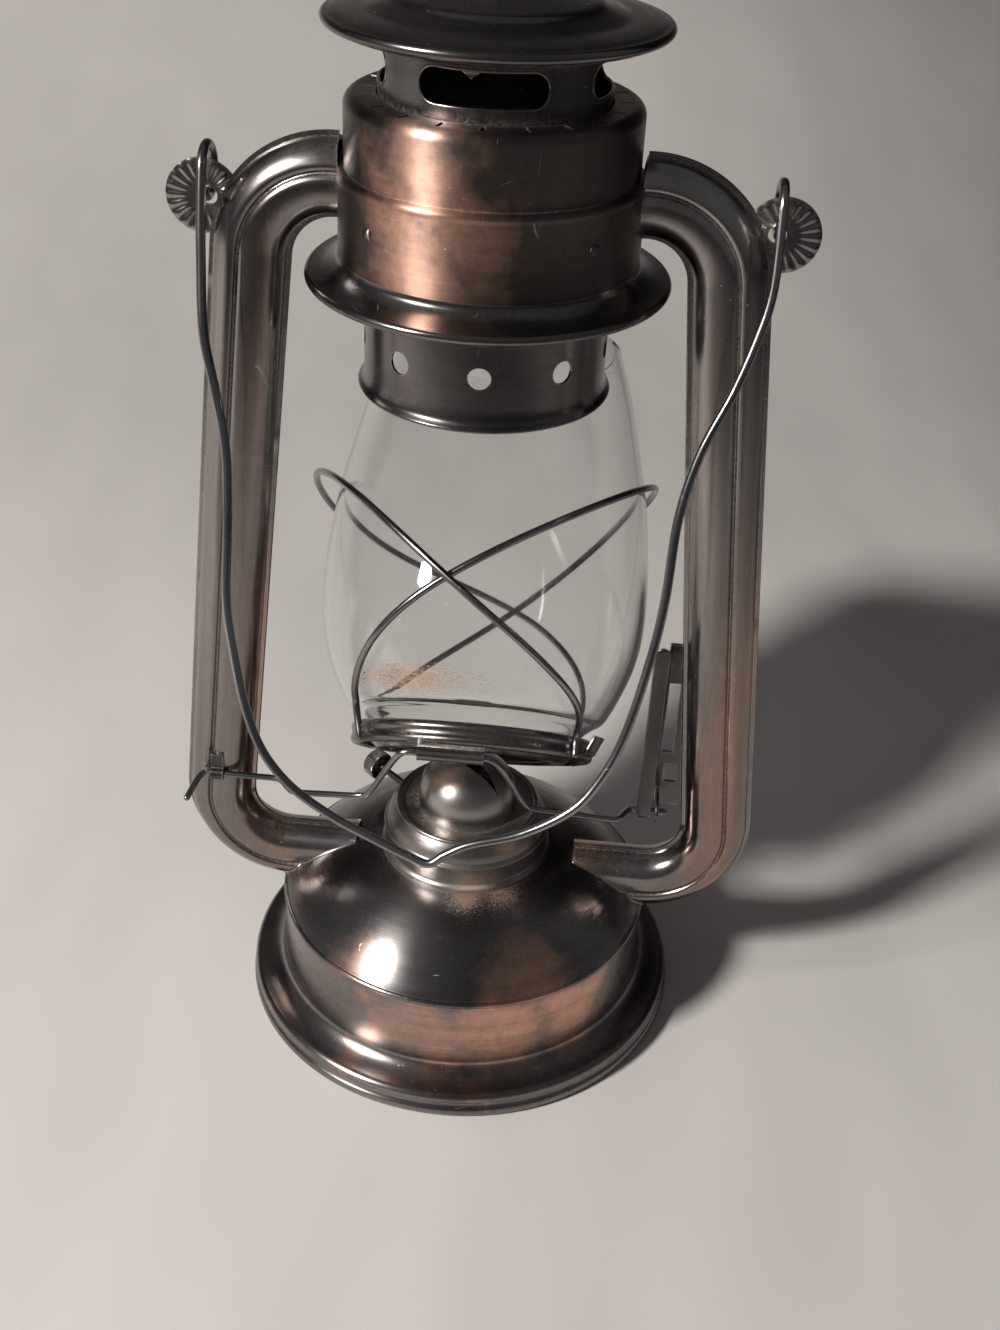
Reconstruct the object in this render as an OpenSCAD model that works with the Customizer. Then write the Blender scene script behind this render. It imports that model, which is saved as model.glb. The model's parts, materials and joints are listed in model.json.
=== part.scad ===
// Tubular hurricane lantern, shown with its globe tipped back for lighting.
// Millimetres, +Z up, right tube along +X, front along -Y, origin at the middle of the foot.

/* [Sheet and wire] */
// Thickness of the formed sheet metal
sheet = 0.7; // [0.5:0.1:0.8]
// Radius of the bail wire
bail_wire_r = 1.3; // [1.1:0.1:1.4]
// Radius of the lift wire
lift_wire_r = 1.0; // [0.8:0.1:1.0]
// Radius of the globe's guard wires
guard_wire_r = 1.15; // [1:0.05:1.15]

/* [Fount] */
// Radius over the rolled foot
base_r = 71.5; // [71:0.5:73]
// Radius of the straight band at its foot
band_r = 60.8; // [60.4:0.1:61.2]
// Radius of the band at the seam
seam_r = 59.5; // [59.2:0.1:59.8]
// Height of the seam between the band and the dome
seam_z = 36; // [34:0.5:36.5]
// Height of the flat top of the dome
dome_top_z = 54.5; // [54:0.1:54.6]

/* [Burner] */
// Radius of the burner collar's wall
burner_r = 26.5; // [26.2:0.1:26.8]
// Radius of the domed flame cone
cone_r = 15.9; // [15.5:0.1:16.2]
// Width of the flat wick
wick_w = 14; // [12:0.5:14]
// Thickness of the flat wick
wick_t = 2.2; // [1.8:0.1:2.2]
// Height of the wick spindle
spindle_z = 64.5; // [64:0.1:64.8]
// Radius of the wick knob
knob_r = 4.8; // [4.2:0.1:4.9]

/* [Side tubes] */
// Height of the tube centreline where it enters the air chamber
tube_top_z = 272; // [271:0.5:273]
// Half spacing of the tubes' upper corners
tube_top_x = 61.9; // [61:0.1:62.5]
// Half spacing of the tubes' lower corners
tube_foot_x = 83.5; // [83:0.1:84]
// Height of the tube centreline where it meets the fount
tube_foot_z = 45.5; // [45:0.1:46]
// Bend radius of the tube centreline
bend_r = 23; // [22:0.5:24]

/* [Air chamber] */
// Radius of the chamber's lower wall
chamber_r = 39.8; // [39.6:0.1:40]
// Radius of the chamber's upper wall
chamber_cap_r = 38.2; // [38:0.1:38.6]
// Radius over the rolled brim
brim_r = 48.8; // [48:0.1:49.5]

/* [Chimney] */
// Radius of the chimney's neck
neck_r = 29.6; // [29.3:0.1:29.7]
// Radius over the hood's rolled rim
hood_r = 43.7; // [43:0.1:45]
// Radius of the perforated collar above the globe
globe_collar_r = 33; // [32.5:0.1:33.2]

/* [Globe] */
// Height of the glass
globe_h = 134; // [133:0.5:134]
// Radius over the plate's rolled rim
plate_r = 39.5; // [39.3:0.1:39.6]
// Angle by which the globe is tipped back
globe_tilt = 40; // [39.5:0.5:40.5]

/* [Hidden] */
$fn = 96;
WIRE_SIDES = 10;
SMALL_FN = 32;

// Fount
foot_bead_r = 2.2;
foot_bead_z = 2;
upper_bead_r = 2.1;
upper_bead_z = 6.6;
flare_top_z = 13.9;
pan_z = 3;
dome_flat_r = 27;
dome_hole_r = 21.2;
seam_bead_r = 1.1;
dome_drop = dome_top_z - seam_z - 1.5;

// Filler
filler_at = [-4.3, 49.2];
filler_r = 7.5;
filler_wall = 1.2;
filler_base_z = 39.5;
filler_top_z = 55;
gasket_t = 0.7;
cap_r = 9;
cap_base_z = 52.6;
cap_top_z = 57.6;

// Burner and wick
wick_azimuth = 137;
wheel_r = 4.2;
spindle_r = 1.1;
spindle_offset = 5.5;
knob_reach = 40;
cone_base_z = 69.9;
cone_h = 16.4;
wick_base_z = 27;
wick_top_z = 78;
tube_wall = 0.6;
tube_gap = 0.5;
running_gap = 0.08;

// Side tubes: the lean of the leg and the centres of the two bends
tube_lean = atan((tube_foot_x - tube_top_x) / (tube_top_z - tube_foot_z));
flange_a = 11.2;
flange_t = 0.8;
upper_turn = 90 - tube_lean;
lower_turn = 90 + tube_lean;
chamber_entry = 8;
upper_bend = [tube_top_x - bend_r * tan(upper_turn / 2), tube_top_z - bend_r];
lower_bend = [tube_foot_x - bend_r * tan(lower_turn / 2), tube_foot_z + bend_r];
leg_length = norm([tube_foot_x - tube_top_x, tube_top_z - tube_foot_z])
    - bend_r * (tan(upper_turn / 2) + tan(lower_turn / 2));
foot_end_x = 36;
// The foot laps into the bend and is a hair thinner, so that no two walls coincide
foot_lap = 0.5;
foot_inset = 0.03;

// Ears and bail
ear_at = [76, 264];
ear_r = 10;
ear_t = 1.2;
ear_hole_x = 74.5;
ear_hole_z = 264.2;
ear_hole_r = 2.4;
bail_loop_r = 6.6;
bail_pivot_z = ear_hole_z + bail_loop_r;
bail_lean = 18;

// Air chamber
chamber_base_z = 254;
chamber_step_z = 276.6;
chamber_top_z = 294.7;
chamber_hole_r = 30;
brim_roll_r = 1.3;
brim_z = 248.4;
louvre_count = 20;
rivet_z = 266;

// Chimney
neck_base_z = 245.4;
neck_top_z = 308.2;
collar_base_z = 217.6;
shoulder_r = 36.9;
hood_rim_z = 312.6;
hood_roll_r = 1.3;
slot_base_z = 298;
slot_top_z = 306.7;
slot_angle = 64;
slot_azimuth = -91.5;
collar_hole_z = 232;
collar_hole_r = 3.1;
collar_hole_count = 9;
hood_top_z = 321;
staple_r = 3.7;
ring_r = 8.5;
ring_wire_r = 1.1;

// Lift crank: its own axis and the pin that carries the globe's plate, as [y, z]
crank_axis = [-9.6, 80.2];
crank_pin = [-23.2, 105.2];
barrel_reach = 37;
barrel_drop = 6.5;
barrel_r = 2.15;
barrel_from = -14;
barrel_to = 6.3;
plate_at = [
    crank_pin[0] + barrel_reach * cos(globe_tilt) + barrel_drop * sin(globe_tilt),
    crank_pin[1] - barrel_reach * sin(globe_tilt) + barrel_drop * cos(globe_tilt)
];
plate_roll_r = 1.8;
plate_hole_r = 25;
lever_x = 56.8;
lever_length = 62.4;
lever_w = 4.6;
lever_lean = 0.4;
lever_depth = 2.6;
bracket_t = 1.2;
ear_plate_x = 60.5;
clip_from = -82;
clip_to = -78;

// A vector of length one
function unit(v) = v / norm(v);

// A plane vector turned a quarter turn to the left
function left(v) = [-v[1], v[0]];

// Points on an arc about c from angle a0 to a1 in n steps
function arc(c, r, a0, a1, n) = [
    for (i = [0:n])
        let (a = a0 + (a1 - a0) * i / n)
        c + r * [cos(a), sin(a)]
];

// Point i of an outline moved to the left by t, along the bisector of its corner
function moved(p, i, t) =
    let (
        after = i < len(p) - 1 ? unit(p[i + 1] - p[i]) : unit(p[i] - p[i - 1]),
        before = i > 0 ? unit(p[i] - p[i - 1]) : after,
        n = unit(left(before) + left(after)),
        q = p[i] + n * t / (n * left(after))
    )
    [max(q[0], 0), q[1]];

// A strip of thickness t on the left of an outline
function strip(p, t) = concat(p, [for (i = [len(p) - 1:-1:0]) moved(p, i, t)]);

// Smooth curve through hand-chosen points, n steps between neighbours
function between(a, b, c, d, t) =
    0.5 * (2 * b + (c - a) * t + (2 * a - 5 * b + 4 * c - d) * t ^ 2
        + (3 * b - a - 3 * c + d) * t ^ 3);
function curve(p, n) = concat(
    [
        for (i = [0:len(p) - 2])
            for (k = [0:n - 1])
                between(p[max(i - 1, 0)], p[i], p[i + 1], p[min(i + 2, len(p) - 1)], k / n)
    ],
    [p[len(p) - 1]]
);

// Direction of a route at point i, and the side vectors carried along it without twist
function heading(p, i) = unit(p[min(i + 1, len(p) - 1)] - p[max(i - 1, 0)]);
function sides(p, i, n) =
    i >= len(p)
        ? []
        : let (
            h = heading(p, i),
            m = unit(n - (n * h) * h)
        )
        concat([m], sides(p, i + 1, m));

// A round wire swept along a route
module wire(p, r, side = [0, 1, 0]) {
    m = sides(p, 0, side);
    rings = [
        for (i = [0:len(p) - 1])
            let (b = cross(heading(p, i), m[i]))
            for (k = [0:WIRE_SIDES - 1])
                let (a = 360 * k / WIRE_SIDES)
                p[i] + r * (cos(a) * m[i] + sin(a) * b)
    ];
    walls = [
        for (i = [0:len(p) - 2])
            for (k = [0:WIRE_SIDES - 1])
                let (
                    a = i * WIRE_SIDES + k,
                    b = i * WIRE_SIDES + (k + 1) % WIRE_SIDES
                )
                [a, a + WIRE_SIDES, b + WIRE_SIDES, b]
    ];
    first_cap = [for (k = [0:WIRE_SIDES - 1]) k];
    last_cap = [for (k = [WIRE_SIDES - 1:-1:0]) (len(p) - 1) * WIRE_SIDES + k];
    polyhedron(points = rings, faces = concat(walls, [first_cap, last_cap]), convexity = 8);
}

// Sheet metal turned about the Z axis, its outer face along the outline p
module turned(p, t = sheet) {
    rotate_extrude() polygon(strip(p, t));
}

// Fount: foot, band and dome

// The dome is an arc that leaves the flat top level and falls by dome_drop at the seam
dome_span = seam_r - dome_flat_r;
dome_arc_r = (dome_span ^ 2 + dome_drop ^ 2) / (2 * dome_drop);

// Outline of the space under the dome, grown inwards by t
module under_dome(t) {
    intersection() {
        translate([dome_flat_r, dome_top_z - dome_arc_r]) circle(dome_arc_r - t);
        translate([dome_flat_r, seam_z - 4]) square([dome_span, 40]);
    }
    translate([0, seam_z - 4]) square([dome_flat_r, dome_top_z - t - seam_z + 4]);
}

function flare_line() = [
    for (a = [0:15:90])
        [
            base_r - 2.6 - (base_r - 2.6 - band_r) * sin(a),
            flare_top_z - (flare_top_z - upper_bead_z - upper_bead_r) * cos(a)
        ]
];

module fount_skirt() {
    color("#4d4747")
    rotate_extrude()
    intersection() {
        union() {
            translate([base_r - foot_bead_r, foot_bead_z]) circle(foot_bead_r);
            translate([base_r - upper_bead_r - 0.6, upper_bead_z]) circle(upper_bead_r);
            translate([base_r - 3.9, foot_bead_z]) square([1.8, upper_bead_z - foot_bead_z]);
            polygon(strip(concat(flare_line(), [[seam_r, seam_z]]), sheet));
        }
        square([base_r + 1, seam_z]);
    }
}

module fount_dome() {
    color("#564a47")
    difference() {
        rotate_extrude()
        intersection() {
            union() {
                translate([seam_r - 0.2, seam_z + 0.9]) circle(seam_bead_r, $fn = SMALL_FN);
                difference() {
                    under_dome(0);
                    under_dome(sheet);
                }
            }
            translate([dome_hole_r, seam_z]) square([base_r, 40]);
        }
        translate([filler_at[0], filler_at[1], seam_z]) cylinder(r = filler_r, h = 40);
    }
}

module fount_bottom() {
    color("#3c3938")
    translate([0, 0, pan_z])
    cylinder(r = base_r - 2 * foot_bead_r + 0.1, h = sheet);
}

// The space taken by the fount, used to cope what stands on it
module fount_envelope() {
    rotate_extrude() under_dome(0);
    cylinder(r = seam_r + seam_bead_r - 0.15, h = seam_z + 2 * seam_bead_r - 0.15);
}

// Filler

module at_filler(z) {
    translate([filler_at[0], filler_at[1], z]) children();
}

module filler_neck() {
    color("#6a5a50")
    at_filler(filler_base_z)
    difference() {
        cylinder(r = filler_r, h = filler_top_z - filler_base_z);
        translate([0, 0, -1]) cylinder(r = filler_r - filler_wall, h = filler_top_z);
    }
}

module filler_gasket() {
    color("#2b2724")
    at_filler(filler_top_z)
    difference() {
        cylinder(r = filler_r - 0.1, h = gasket_t);
        translate([0, 0, -1]) cylinder(r = filler_r - filler_wall - 1, h = gasket_t + 2);
    }
}

module filler_cap() {
    skirt_r = filler_r + 0.3;
    color("#6b5c55")
    at_filler(cap_base_z)
    rotate_extrude()
    polygon([
        [skirt_r, 0],
        [cap_r, 0],
        [cap_r, cap_top_z - cap_base_z - 1],
        [cap_r - 1, cap_top_z - cap_base_z],
        [0, cap_top_z - cap_base_z],
        [0, filler_top_z + gasket_t - cap_base_z],
        [skirt_r, filler_top_z + gasket_t - cap_base_z]
    ]);
}

// Burner

module burner_body() {
    color("#5b4a3e")
    difference() {
        union() {
            translate([0, 0, dome_top_z]) cylinder(r = burner_r - 1.2, h = 0.8);
            translate([0, 0, dome_top_z - 7]) cylinder(r = dome_hole_r - 0.2, h = 7);
        }
        translate([0, 0, dome_top_z - 8]) cylinder(r = dome_hole_r - 1.4, h = 8);
        turned_to_wick() wick_box(wick_tube_w() + 0.1, wick_tube_d() + 0.1, 40, 60);
    }
}

module burner_collar() {
    wall = burner_r;
    wall_line = [
        [wall + 1.2, dome_top_z],
        [wall + 1.2, dome_top_z + 1.4],
        [wall + 0.1, dome_top_z + 2.5],
        [wall - 0.1, dome_top_z + 8],
        [wall - 0.5, dome_top_z + 10.2],
        [wall - 1.1, dome_top_z + 12.7],
        [wall - 2.4, dome_top_z + 15.1],
        [wall - 4.0, dome_top_z + 16.4]
    ];
    color("#5e4b42")
    difference() {
        rotate_extrude()
        union() {
            polygon(strip(wall_line, sheet));
            translate([wall - 0.3, dome_top_z + 8.9]) circle(0.8, $fn = SMALL_FN);
            translate([wall - 4.2, dome_top_z + 16.1]) circle(0.9, $fn = SMALL_FN);
            translate([13, cone_base_z - sheet]) square([wall - 4.2 - 13, sheet]);
        }
        along_spindle(10) cylinder(r = spindle_r + running_gap, h = knob_reach, $fn = SMALL_FN);
    }
}

// The cone is a superellipse of the third degree, slit by a pointed slot for the flame
module burner_cone() {
    cone_line = [
        for (a = [0:7.5:90])
            [cone_r * cos(a) ^ (2 / 3), cone_base_z + cone_h * sin(a) ^ (2 / 3)]
    ];
    half_length = 14.5;
    half_width = 2.2;
    slot_curve = (half_length ^ 2 + half_width ^ 2) / (2 * half_width);
    color("#8a6a58")
    difference() {
        turned(cone_line, 0.6);
        translate([0, 0, cone_base_z + 5])
        turned_to_wick()
        linear_extrude(20)
        intersection() {
            translate([0, slot_curve - half_width]) circle(slot_curve);
            translate([0, half_width - slot_curve]) circle(slot_curve);
        }
    }
}

// Wick, its flat tube and the spindle that winds it

module turned_to_wick() {
    rotate([0, 0, wick_azimuth]) children();
}

// A box along the wick: w wide, d thick, from z0 to z1
module wick_box(w, d, z0, z1) {
    translate([-w / 2, -d / 2, z0]) cube([w, d, z1 - z0]);
}

function wick_tube_w() = wick_w + 2 * tube_gap + 2 * tube_wall;
function wick_tube_d() = wick_t + 2 * tube_gap + 2 * tube_wall;

// Children drawn along +Z are laid along the spindle, starting at the given distance
module along_spindle(from) {
    turned_to_wick()
    translate([from, spindle_offset, spindle_z])
    rotate([0, 90, 0])
    children();
}

module wick_tube() {
    color("#6b5648")
    turned_to_wick()
    difference() {
        wick_box(wick_tube_w(), wick_tube_d(), 46, 75);
        wick_box(wick_w + 2 * tube_gap, wick_t + 2 * tube_gap, 45, 76);
        for (x = [-4, 4])
            translate([x - 1.2, 0, spindle_z - wheel_r]) cube([2.4, 5, 2 * wheel_r]);
    }
}

module wick() {
    color("#cfc3a8")
    turned_to_wick()
    wick_box(wick_w, wick_t, wick_base_z, wick_top_z);
}

module wick_spindle() {
    color("#77706a")
    along_spindle(-9)
    cylinder(r = spindle_r, h = knob_reach + 10, $fn = SMALL_FN);
}

module wick_wheels() {
    teeth = 14;
    color("#7d6a4f")
    for (x = [-4.6, 3.4])
        along_spindle(x)
        difference() {
            linear_extrude(1.2)
            polygon([
                for (k = [0:2 * teeth - 1])
                    let (r = k % 2 == 0 ? wheel_r : wheel_r - 0.8)
                    r * [cos(180 * k / teeth), sin(180 * k / teeth)]
            ]);
            translate([0, 0, -1]) cylinder(r = spindle_r + 0.01, h = 4, $fn = SMALL_FN);
        }
}

// The knob is a shallow cup that opens towards the burner
module wick_knob() {
    depth = 5;
    hub_r = 2.1;
    color("#7c5a4b")
    along_spindle(knob_reach - depth / 2)
    rotate_extrude()
    polygon([
        [spindle_r + 0.01, 1.2],
        [hub_r, 1.2],
        [hub_r, depth - 1],
        [knob_r - 0.8, depth - 1],
        [knob_r - 0.8, 0],
        [knob_r, 0],
        [knob_r, depth - 0.4],
        [knob_r - 0.4, depth],
        [spindle_r + 0.01, depth]
    ]);
}

// Side tubes, each pressed as a front and a back half with flanges between them

// Half section: the first value grows away from the lantern, the second towards the front
half_outside = [
    [-flange_a, 0], [-flange_a, flange_t], [-9.9, flange_t], [-9.4, 3.2], [-8, 5.8],
    [-5.6, 7.6], [-2.6, 8.4], [0.4, 8.3], [2.4, 7.4], [3.2, 7.9], [4.2, 7.9], [4.8, 7],
    [6.2, 6.6], [8, 5.2], [9.4, 3], [9.9, flange_t], [flange_a, flange_t], [flange_a, 0]
];
half_inside = [
    [8.9, 0], [8.5, 2.5], [7.4, 4.4], [6, 5.7], [4.5, 6.2], [0.3, 7.4], [-2.4, 7.5],
    [-5, 6.8], [-7.2, 5.1], [-8.5, 2.9], [-8.9, 0]
];

// A line of the section moved into the metal by t; its ends stay on the seam
function thinned(p, t) = [
    for (i = [0:len(p) - 1])
        let (
            after = i < len(p) - 1 ? unit(p[i + 1] - p[i]) : unit(p[i] - p[i - 1]),
            before = i > 0 ? unit(p[i] - p[i - 1]) : after,
            n = unit(left(before) + left(after)),
            q = p[i] - n * t / (n * left(after))
        )
        [q[0], p[i][1] == 0 ? 0 : q[1]]
];

module half_section(t = 0) {
    polygon(concat(thinned(half_outside, t), thinned(half_inside, t)));
}

module solid_section() {
    polygon(concat(half_outside, [for (p = half_outside) [-p[0], -p[1]]]));
}

// Sweeps a section along the leg and its two bends, drawn in the leg's own frame so that their
// ends meet exactly. The upper bend runs on into the chamber.
module along_leg() {
    leg_top = upper_bend + bend_r * [cos(tube_lean), sin(tube_lean)];
    rotate([90, 0, 0])
    translate([leg_top[0], leg_top[1], 0])
    rotate([0, 0, tube_lean]) {
        rotate([90, 0, 0]) linear_extrude(leg_length) children();
        translate([-bend_r, 0, 0])
        rotate_extrude(angle = upper_turn + chamber_entry)
        translate([bend_r, 0])
        children();
        translate([-bend_r, -leg_length, 0])
        mirror([0, 1, 0])
        rotate_extrude(angle = lower_turn)
        translate([bend_r, 0])
        children();
    }
}

// Sweeps a section along the straight foot, which starts a little inside the lower bend
module along_foot() {
    rotate([90, 0, 0])
    translate([lower_bend[0] + foot_lap, tube_foot_z, 0])
    rotate([0, 0, -90])
    rotate([90, 0, 0])
    linear_extrude(lower_bend[0] + foot_lap - foot_end_x)
    children();
}

// Front half of the right tube, its ends coped to the chamber and to the fount
module right_tube_half() {
    difference() {
        union() {
            along_leg() half_section();
            along_foot() half_section(foot_inset);
        }
        translate([0, 0, 240]) cylinder(r = chamber_r, h = chamber_step_z - 240);
        translate([0, 0, chamber_step_z - 1]) cylinder(r = chamber_cap_r, h = 30);
        fount_envelope();
    }
}

module tube_right_front() {
    color("#6f6864") right_tube_half();
}

module tube_right_back() {
    color("#69625e") mirror([0, 1, 0]) right_tube_half();
}

module tube_left_front() {
    color("#726a66") mirror([1, 0, 0]) right_tube_half();
}

module tube_left_back() {
    color("#69625e") mirror([1, 0, 0]) mirror([0, 1, 0]) right_tube_half();
}

// Ears for the bail

module right_ear() {
    rotate([90, 0, 0])
    translate([0, 0, -ear_t / 2])
    linear_extrude(ear_t)
    difference() {
        translate(ear_at) circle(ear_r);
        translate([ear_hole_x, ear_hole_z]) circle(ear_hole_r);
        translate(upper_bend) circle(bend_r + flange_a + 0.02);
    }
}

module ear_right() {
    color("#5d5653") right_ear();
}

module ear_left() {
    color("#5d5653") mirror([1, 0, 0]) right_ear();
}

// Bail: a bent wire with a loop round each ear, hanging in front of the globe

// Route of the drop from the left loop to the right one: sideways, and down the bail's plane
bail_route = [
    [-74.5, 8], [-74.2, 22], [-73.2, 41], [-69.8, 56], [-66.5, 72], [-65.6, 91],
    [-65.4, 113], [-63.2, 127], [-59.5, 143], [-54.4, 155.5], [-46, 165.5], [-34, 173.5],
    [-22, 179.2], [-12, 183.5], [-5.5, 185.5], [-1, 182.5], [6, 178.7], [20, 174.3],
    [33.6, 166], [41.2, 156], [47, 142], [52, 120], [54.4, 103], [55.8, 81], [59.8, 63.5],
    [67.2, 46], [72.3, 30], [74.2, 20], [74.5, 8]
];

// A point at x, s down the bail's plane
function bail_point(x, s) = [
    x,
    -bail_loop_r * cos(bail_lean) - s * sin(bail_lean),
    bail_pivot_z + bail_loop_r * sin(bail_lean) - s * cos(bail_lean)
];

// The wire runs through the ear and round it, ending at the front of the loop
function bail_loop(x) = [
    for (a = [335:-22:5])
        [
            x,
            -bail_loop_r * cos(a + bail_lean),
            bail_pivot_z + bail_loop_r * sin(a + bail_lean)
        ]
];

module bail() {
    drop = curve([for (p = bail_route) bail_point(p[0], p[1])], 2);
    left_loop = bail_loop(-ear_hole_x);
    right_loop = bail_loop(ear_hole_x);
    reversed = [for (i = [len(right_loop) - 1:-1:0]) right_loop[i]];
    color("#4a4644")
    wire(concat(left_loop, drop, reversed), bail_wire_r, [1, 0, 0]);
}

// Air chamber

module tube_windows() {
    for (turn = [0, 180])
        rotate([0, 0, turn])
        translate([30, 0, tube_top_z - 3])
        rotate([0, 90, 0])
        cylinder(r = 4, h = 20, $fn = SMALL_FN);
}

module chamber_lower() {
    color("#5f5552")
    difference() {
        turned([
            [chamber_r, chamber_base_z],
            [chamber_r, chamber_step_z - 2.2],
            [chamber_r + 0.4, chamber_step_z - 1.4],
            [chamber_r - 0.2, chamber_step_z],
            [chamber_cap_r - sheet, chamber_step_z]
        ]);
        tube_windows();
    }
}

module chamber_upper() {
    color("#635956")
    difference() {
        turned(concat(
            [[chamber_cap_r, chamber_step_z]],
            arc([chamber_cap_r - 3, chamber_top_z - 3], 3, 0, 90, 6),
            [[chamber_hole_r, chamber_top_z]]
        ));
        for (k = [0:louvre_count - 1])
            rotate([0, 0, -18 + 360 * k / louvre_count])
            translate([31, -0.6, chamber_top_z - 2])
            cube([4.2, 1.2, 4]);
    }
}

module chamber_brim() {
    roll = brim_r - brim_roll_r;
    color("#6a5e5a")
    rotate_extrude()
    union() {
        polygon(strip([
            [roll - 0.3, brim_z + 1.2],
            [roll - 3, brim_z + 1.8],
            [roll - 5.4, brim_z + 2.8],
            [chamber_r + 0.3, brim_z + 4.2],
            [chamber_r, chamber_base_z]
        ], sheet));
        translate([roll, brim_z]) circle(brim_roll_r, $fn = SMALL_FN);
    }
}

module chamber_rivets() {
    color("#54504d")
    for (turn = [45:90:315])
        rotate([0, 0, turn])
        difference() {
            translate([chamber_r - 1, 0, rivet_z])
            rotate([0, 90, 0])
            cylinder(r = 1.7, h = 1.7, $fn = SMALL_FN);
            translate([0, 0, rivet_z - 5]) cylinder(r = chamber_r, h = 10, $fn = 4 * $fn);
        }
}

// Chimney: neck, hood and the collar that presses on the glass

// One slot in the neck, with round ends
module neck_slot() {
    end_r = (slot_top_z - slot_base_z) / 2;
    end_angle = slot_angle / 2 - asin(end_r / neck_r);
    rotate([0, 0, -end_angle])
    rotate_extrude(angle = 2 * end_angle)
    translate([neck_r - 3, slot_base_z])
    square([6, 2 * end_r]);
    for (turn = [-end_angle, end_angle])
        rotate([0, 0, turn])
        translate([neck_r - 3, 0, slot_base_z + end_r])
        rotate([0, 90, 0])
        cylinder(r = end_r, h = 6, $fn = SMALL_FN);
}

module chimney_neck() {
    color("#5a504d")
    difference() {
        translate([0, 0, neck_base_z]) cylinder(r = neck_r, h = neck_top_z - neck_base_z);
        translate([0, 0, neck_base_z - 1]) cylinder(r = neck_r - sheet, h = neck_top_z);
        for (turn = [0:90:270])
            rotate([0, 0, slot_azimuth + turn])
            neck_slot();
    }
}

module globe_collar() {
    flare = globe_collar_r + 1.7;
    color("#4e4845")
    difference() {
        rotate_extrude()
        union() {
            polygon(strip([
                [flare - 0.3, collar_base_z + 0.7],
                [globe_collar_r + 0.2, collar_base_z + 2.4],
                [globe_collar_r, collar_base_z + 4],
                [globe_collar_r, 241.4],
                [shoulder_r, 242.8],
                [shoulder_r, 244.2],
                [shoulder_r - 1, neck_base_z],
                [neck_r - 1, neck_base_z]
            ], sheet));
            translate([flare - 0.6, collar_base_z + 0.6]) circle(0.6, $fn = SMALL_FN);
        }
        for (k = [0:collar_hole_count - 1])
            rotate([0, 0, -87.7 + 360 * k / collar_hole_count])
            translate([globe_collar_r - 4, 0, collar_hole_z])
            rotate([0, 90, 0])
            cylinder(r = collar_hole_r, h = 8, $fn = SMALL_FN);
    }
}

module hood_liner() {
    color("#4c4643")
    turned([
        [hood_r - 2 * hood_roll_r - 0.1, neck_top_z + 3.2],
        [neck_r + 3, neck_top_z + sheet],
        [neck_r - sheet, neck_top_z + sheet]
    ]);
}

module chimney_hood() {
    roll = hood_r - hood_roll_r;
    color("#665b58")
    rotate_extrude()
    union() {
        translate([roll, hood_rim_z]) circle(hood_roll_r, $fn = SMALL_FN);
        polygon(strip([
            [roll + 0.4, hood_rim_z + 1.1],
            [roll - 2, hood_rim_z + 1.9],
            [roll - 6, hood_rim_z + 2.4],
            [32.2, hood_rim_z + 2.4],
            [26.6, 317],
            [25.4, 318.4],
            [14, 320],
            [6, hood_top_z],
            [0, hood_top_z]
        ], sheet));
    }
}

module hood_staple() {
    color("#55504e")
    translate([0, 0, hood_top_z])
    rotate([90, 0, 90])
    rotate_extrude(angle = 180)
    translate([staple_r, 0])
    circle(0.9, $fn = SMALL_FN);
}

// Ring through the staple, laid back on the hood
module hood_ring() {
    color("#5b5653")
    translate([0, ring_r, hood_top_z + 1.3])
    rotate_extrude()
    translate([ring_r, 0])
    circle(ring_wire_r, $fn = SMALL_FN);
}

// Globe and its plate, drawn upright and then tipped back

module tipped() {
    translate([0, plate_at[0], plate_at[1]])
    rotate([-globe_tilt, 0, 0])
    children();
}

// Outside of the glass from its foot, as [radius, height]
glass_line = curve([
    [35.2, 0.9], [35.2, 4.6], [38.4, 7.6], [43.4, 12], [51, 30], [53.3, 50], [51.3, 78],
    [47.6, 98], [43.2, 118], [38.4, globe_h]
], 4);
glass_t = 2;

module globe() {
    color("#c8cfc8", 0.35) tipped() turned(glass_line, glass_t);
}

module globe_plate() {
    roll = plate_r - plate_roll_r;
    color("#6d5a50")
    tipped()
    difference() {
        rotate_extrude()
        union() {
            translate([roll, 2.2]) circle(plate_roll_r, $fn = SMALL_FN);
            translate([roll, -1.5]) circle(plate_roll_r, $fn = SMALL_FN);
            translate([plate_hole_r, -0.4]) square([roll - plate_hole_r, 0.8]);
            translate([roll - 0.6, -1.5]) square([1.2, 3.7]);
        }
        for (turn = [0:15:345])
            rotate([0, 0, turn])
            translate([29.5, 0, -2])
            cylinder(r = 1.5, h = 4, $fn = SMALL_FN);
    }
}

module plate_gallery() {
    color("#5f4f47")
    tipped()
    difference() {
        turned([
            [plate_hole_r + 0.6, -3.4],
            [plate_hole_r + 1.6, -4.1],
            [30.5, -4.1],
            [33.8, -1.1],
            [33.8, -0.4]
        ], 0.6);
        for (turn = [7.5:15:352.5])
            rotate([0, 0, turn])
            translate([28.5, 0, -6])
            cylinder(r = 1.2, h = 4, $fn = SMALL_FN);
    }
}

module plate_barrel() {
    length = barrel_to - barrel_from;
    color("#584b45")
    tipped()
    difference() {
        union() {
            translate([barrel_from, -barrel_reach, -barrel_drop])
            rotate([0, 90, 0])
            cylinder(r = barrel_r, h = length, $fn = SMALL_FN);
            translate([barrel_from, -barrel_reach - 0.5, -barrel_drop])
            cube([length, 1, barrel_drop - 1.5]);
        }
        translate([barrel_from - 1, -barrel_reach, -barrel_drop])
        rotate([0, 90, 0])
        cylinder(r = lift_wire_r + running_gap, h = length + 2, $fn = SMALL_FN);
        rotate_extrude() translate([plate_r - plate_roll_r, -1.5]) circle(plate_roll_r);
    }
}

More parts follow.
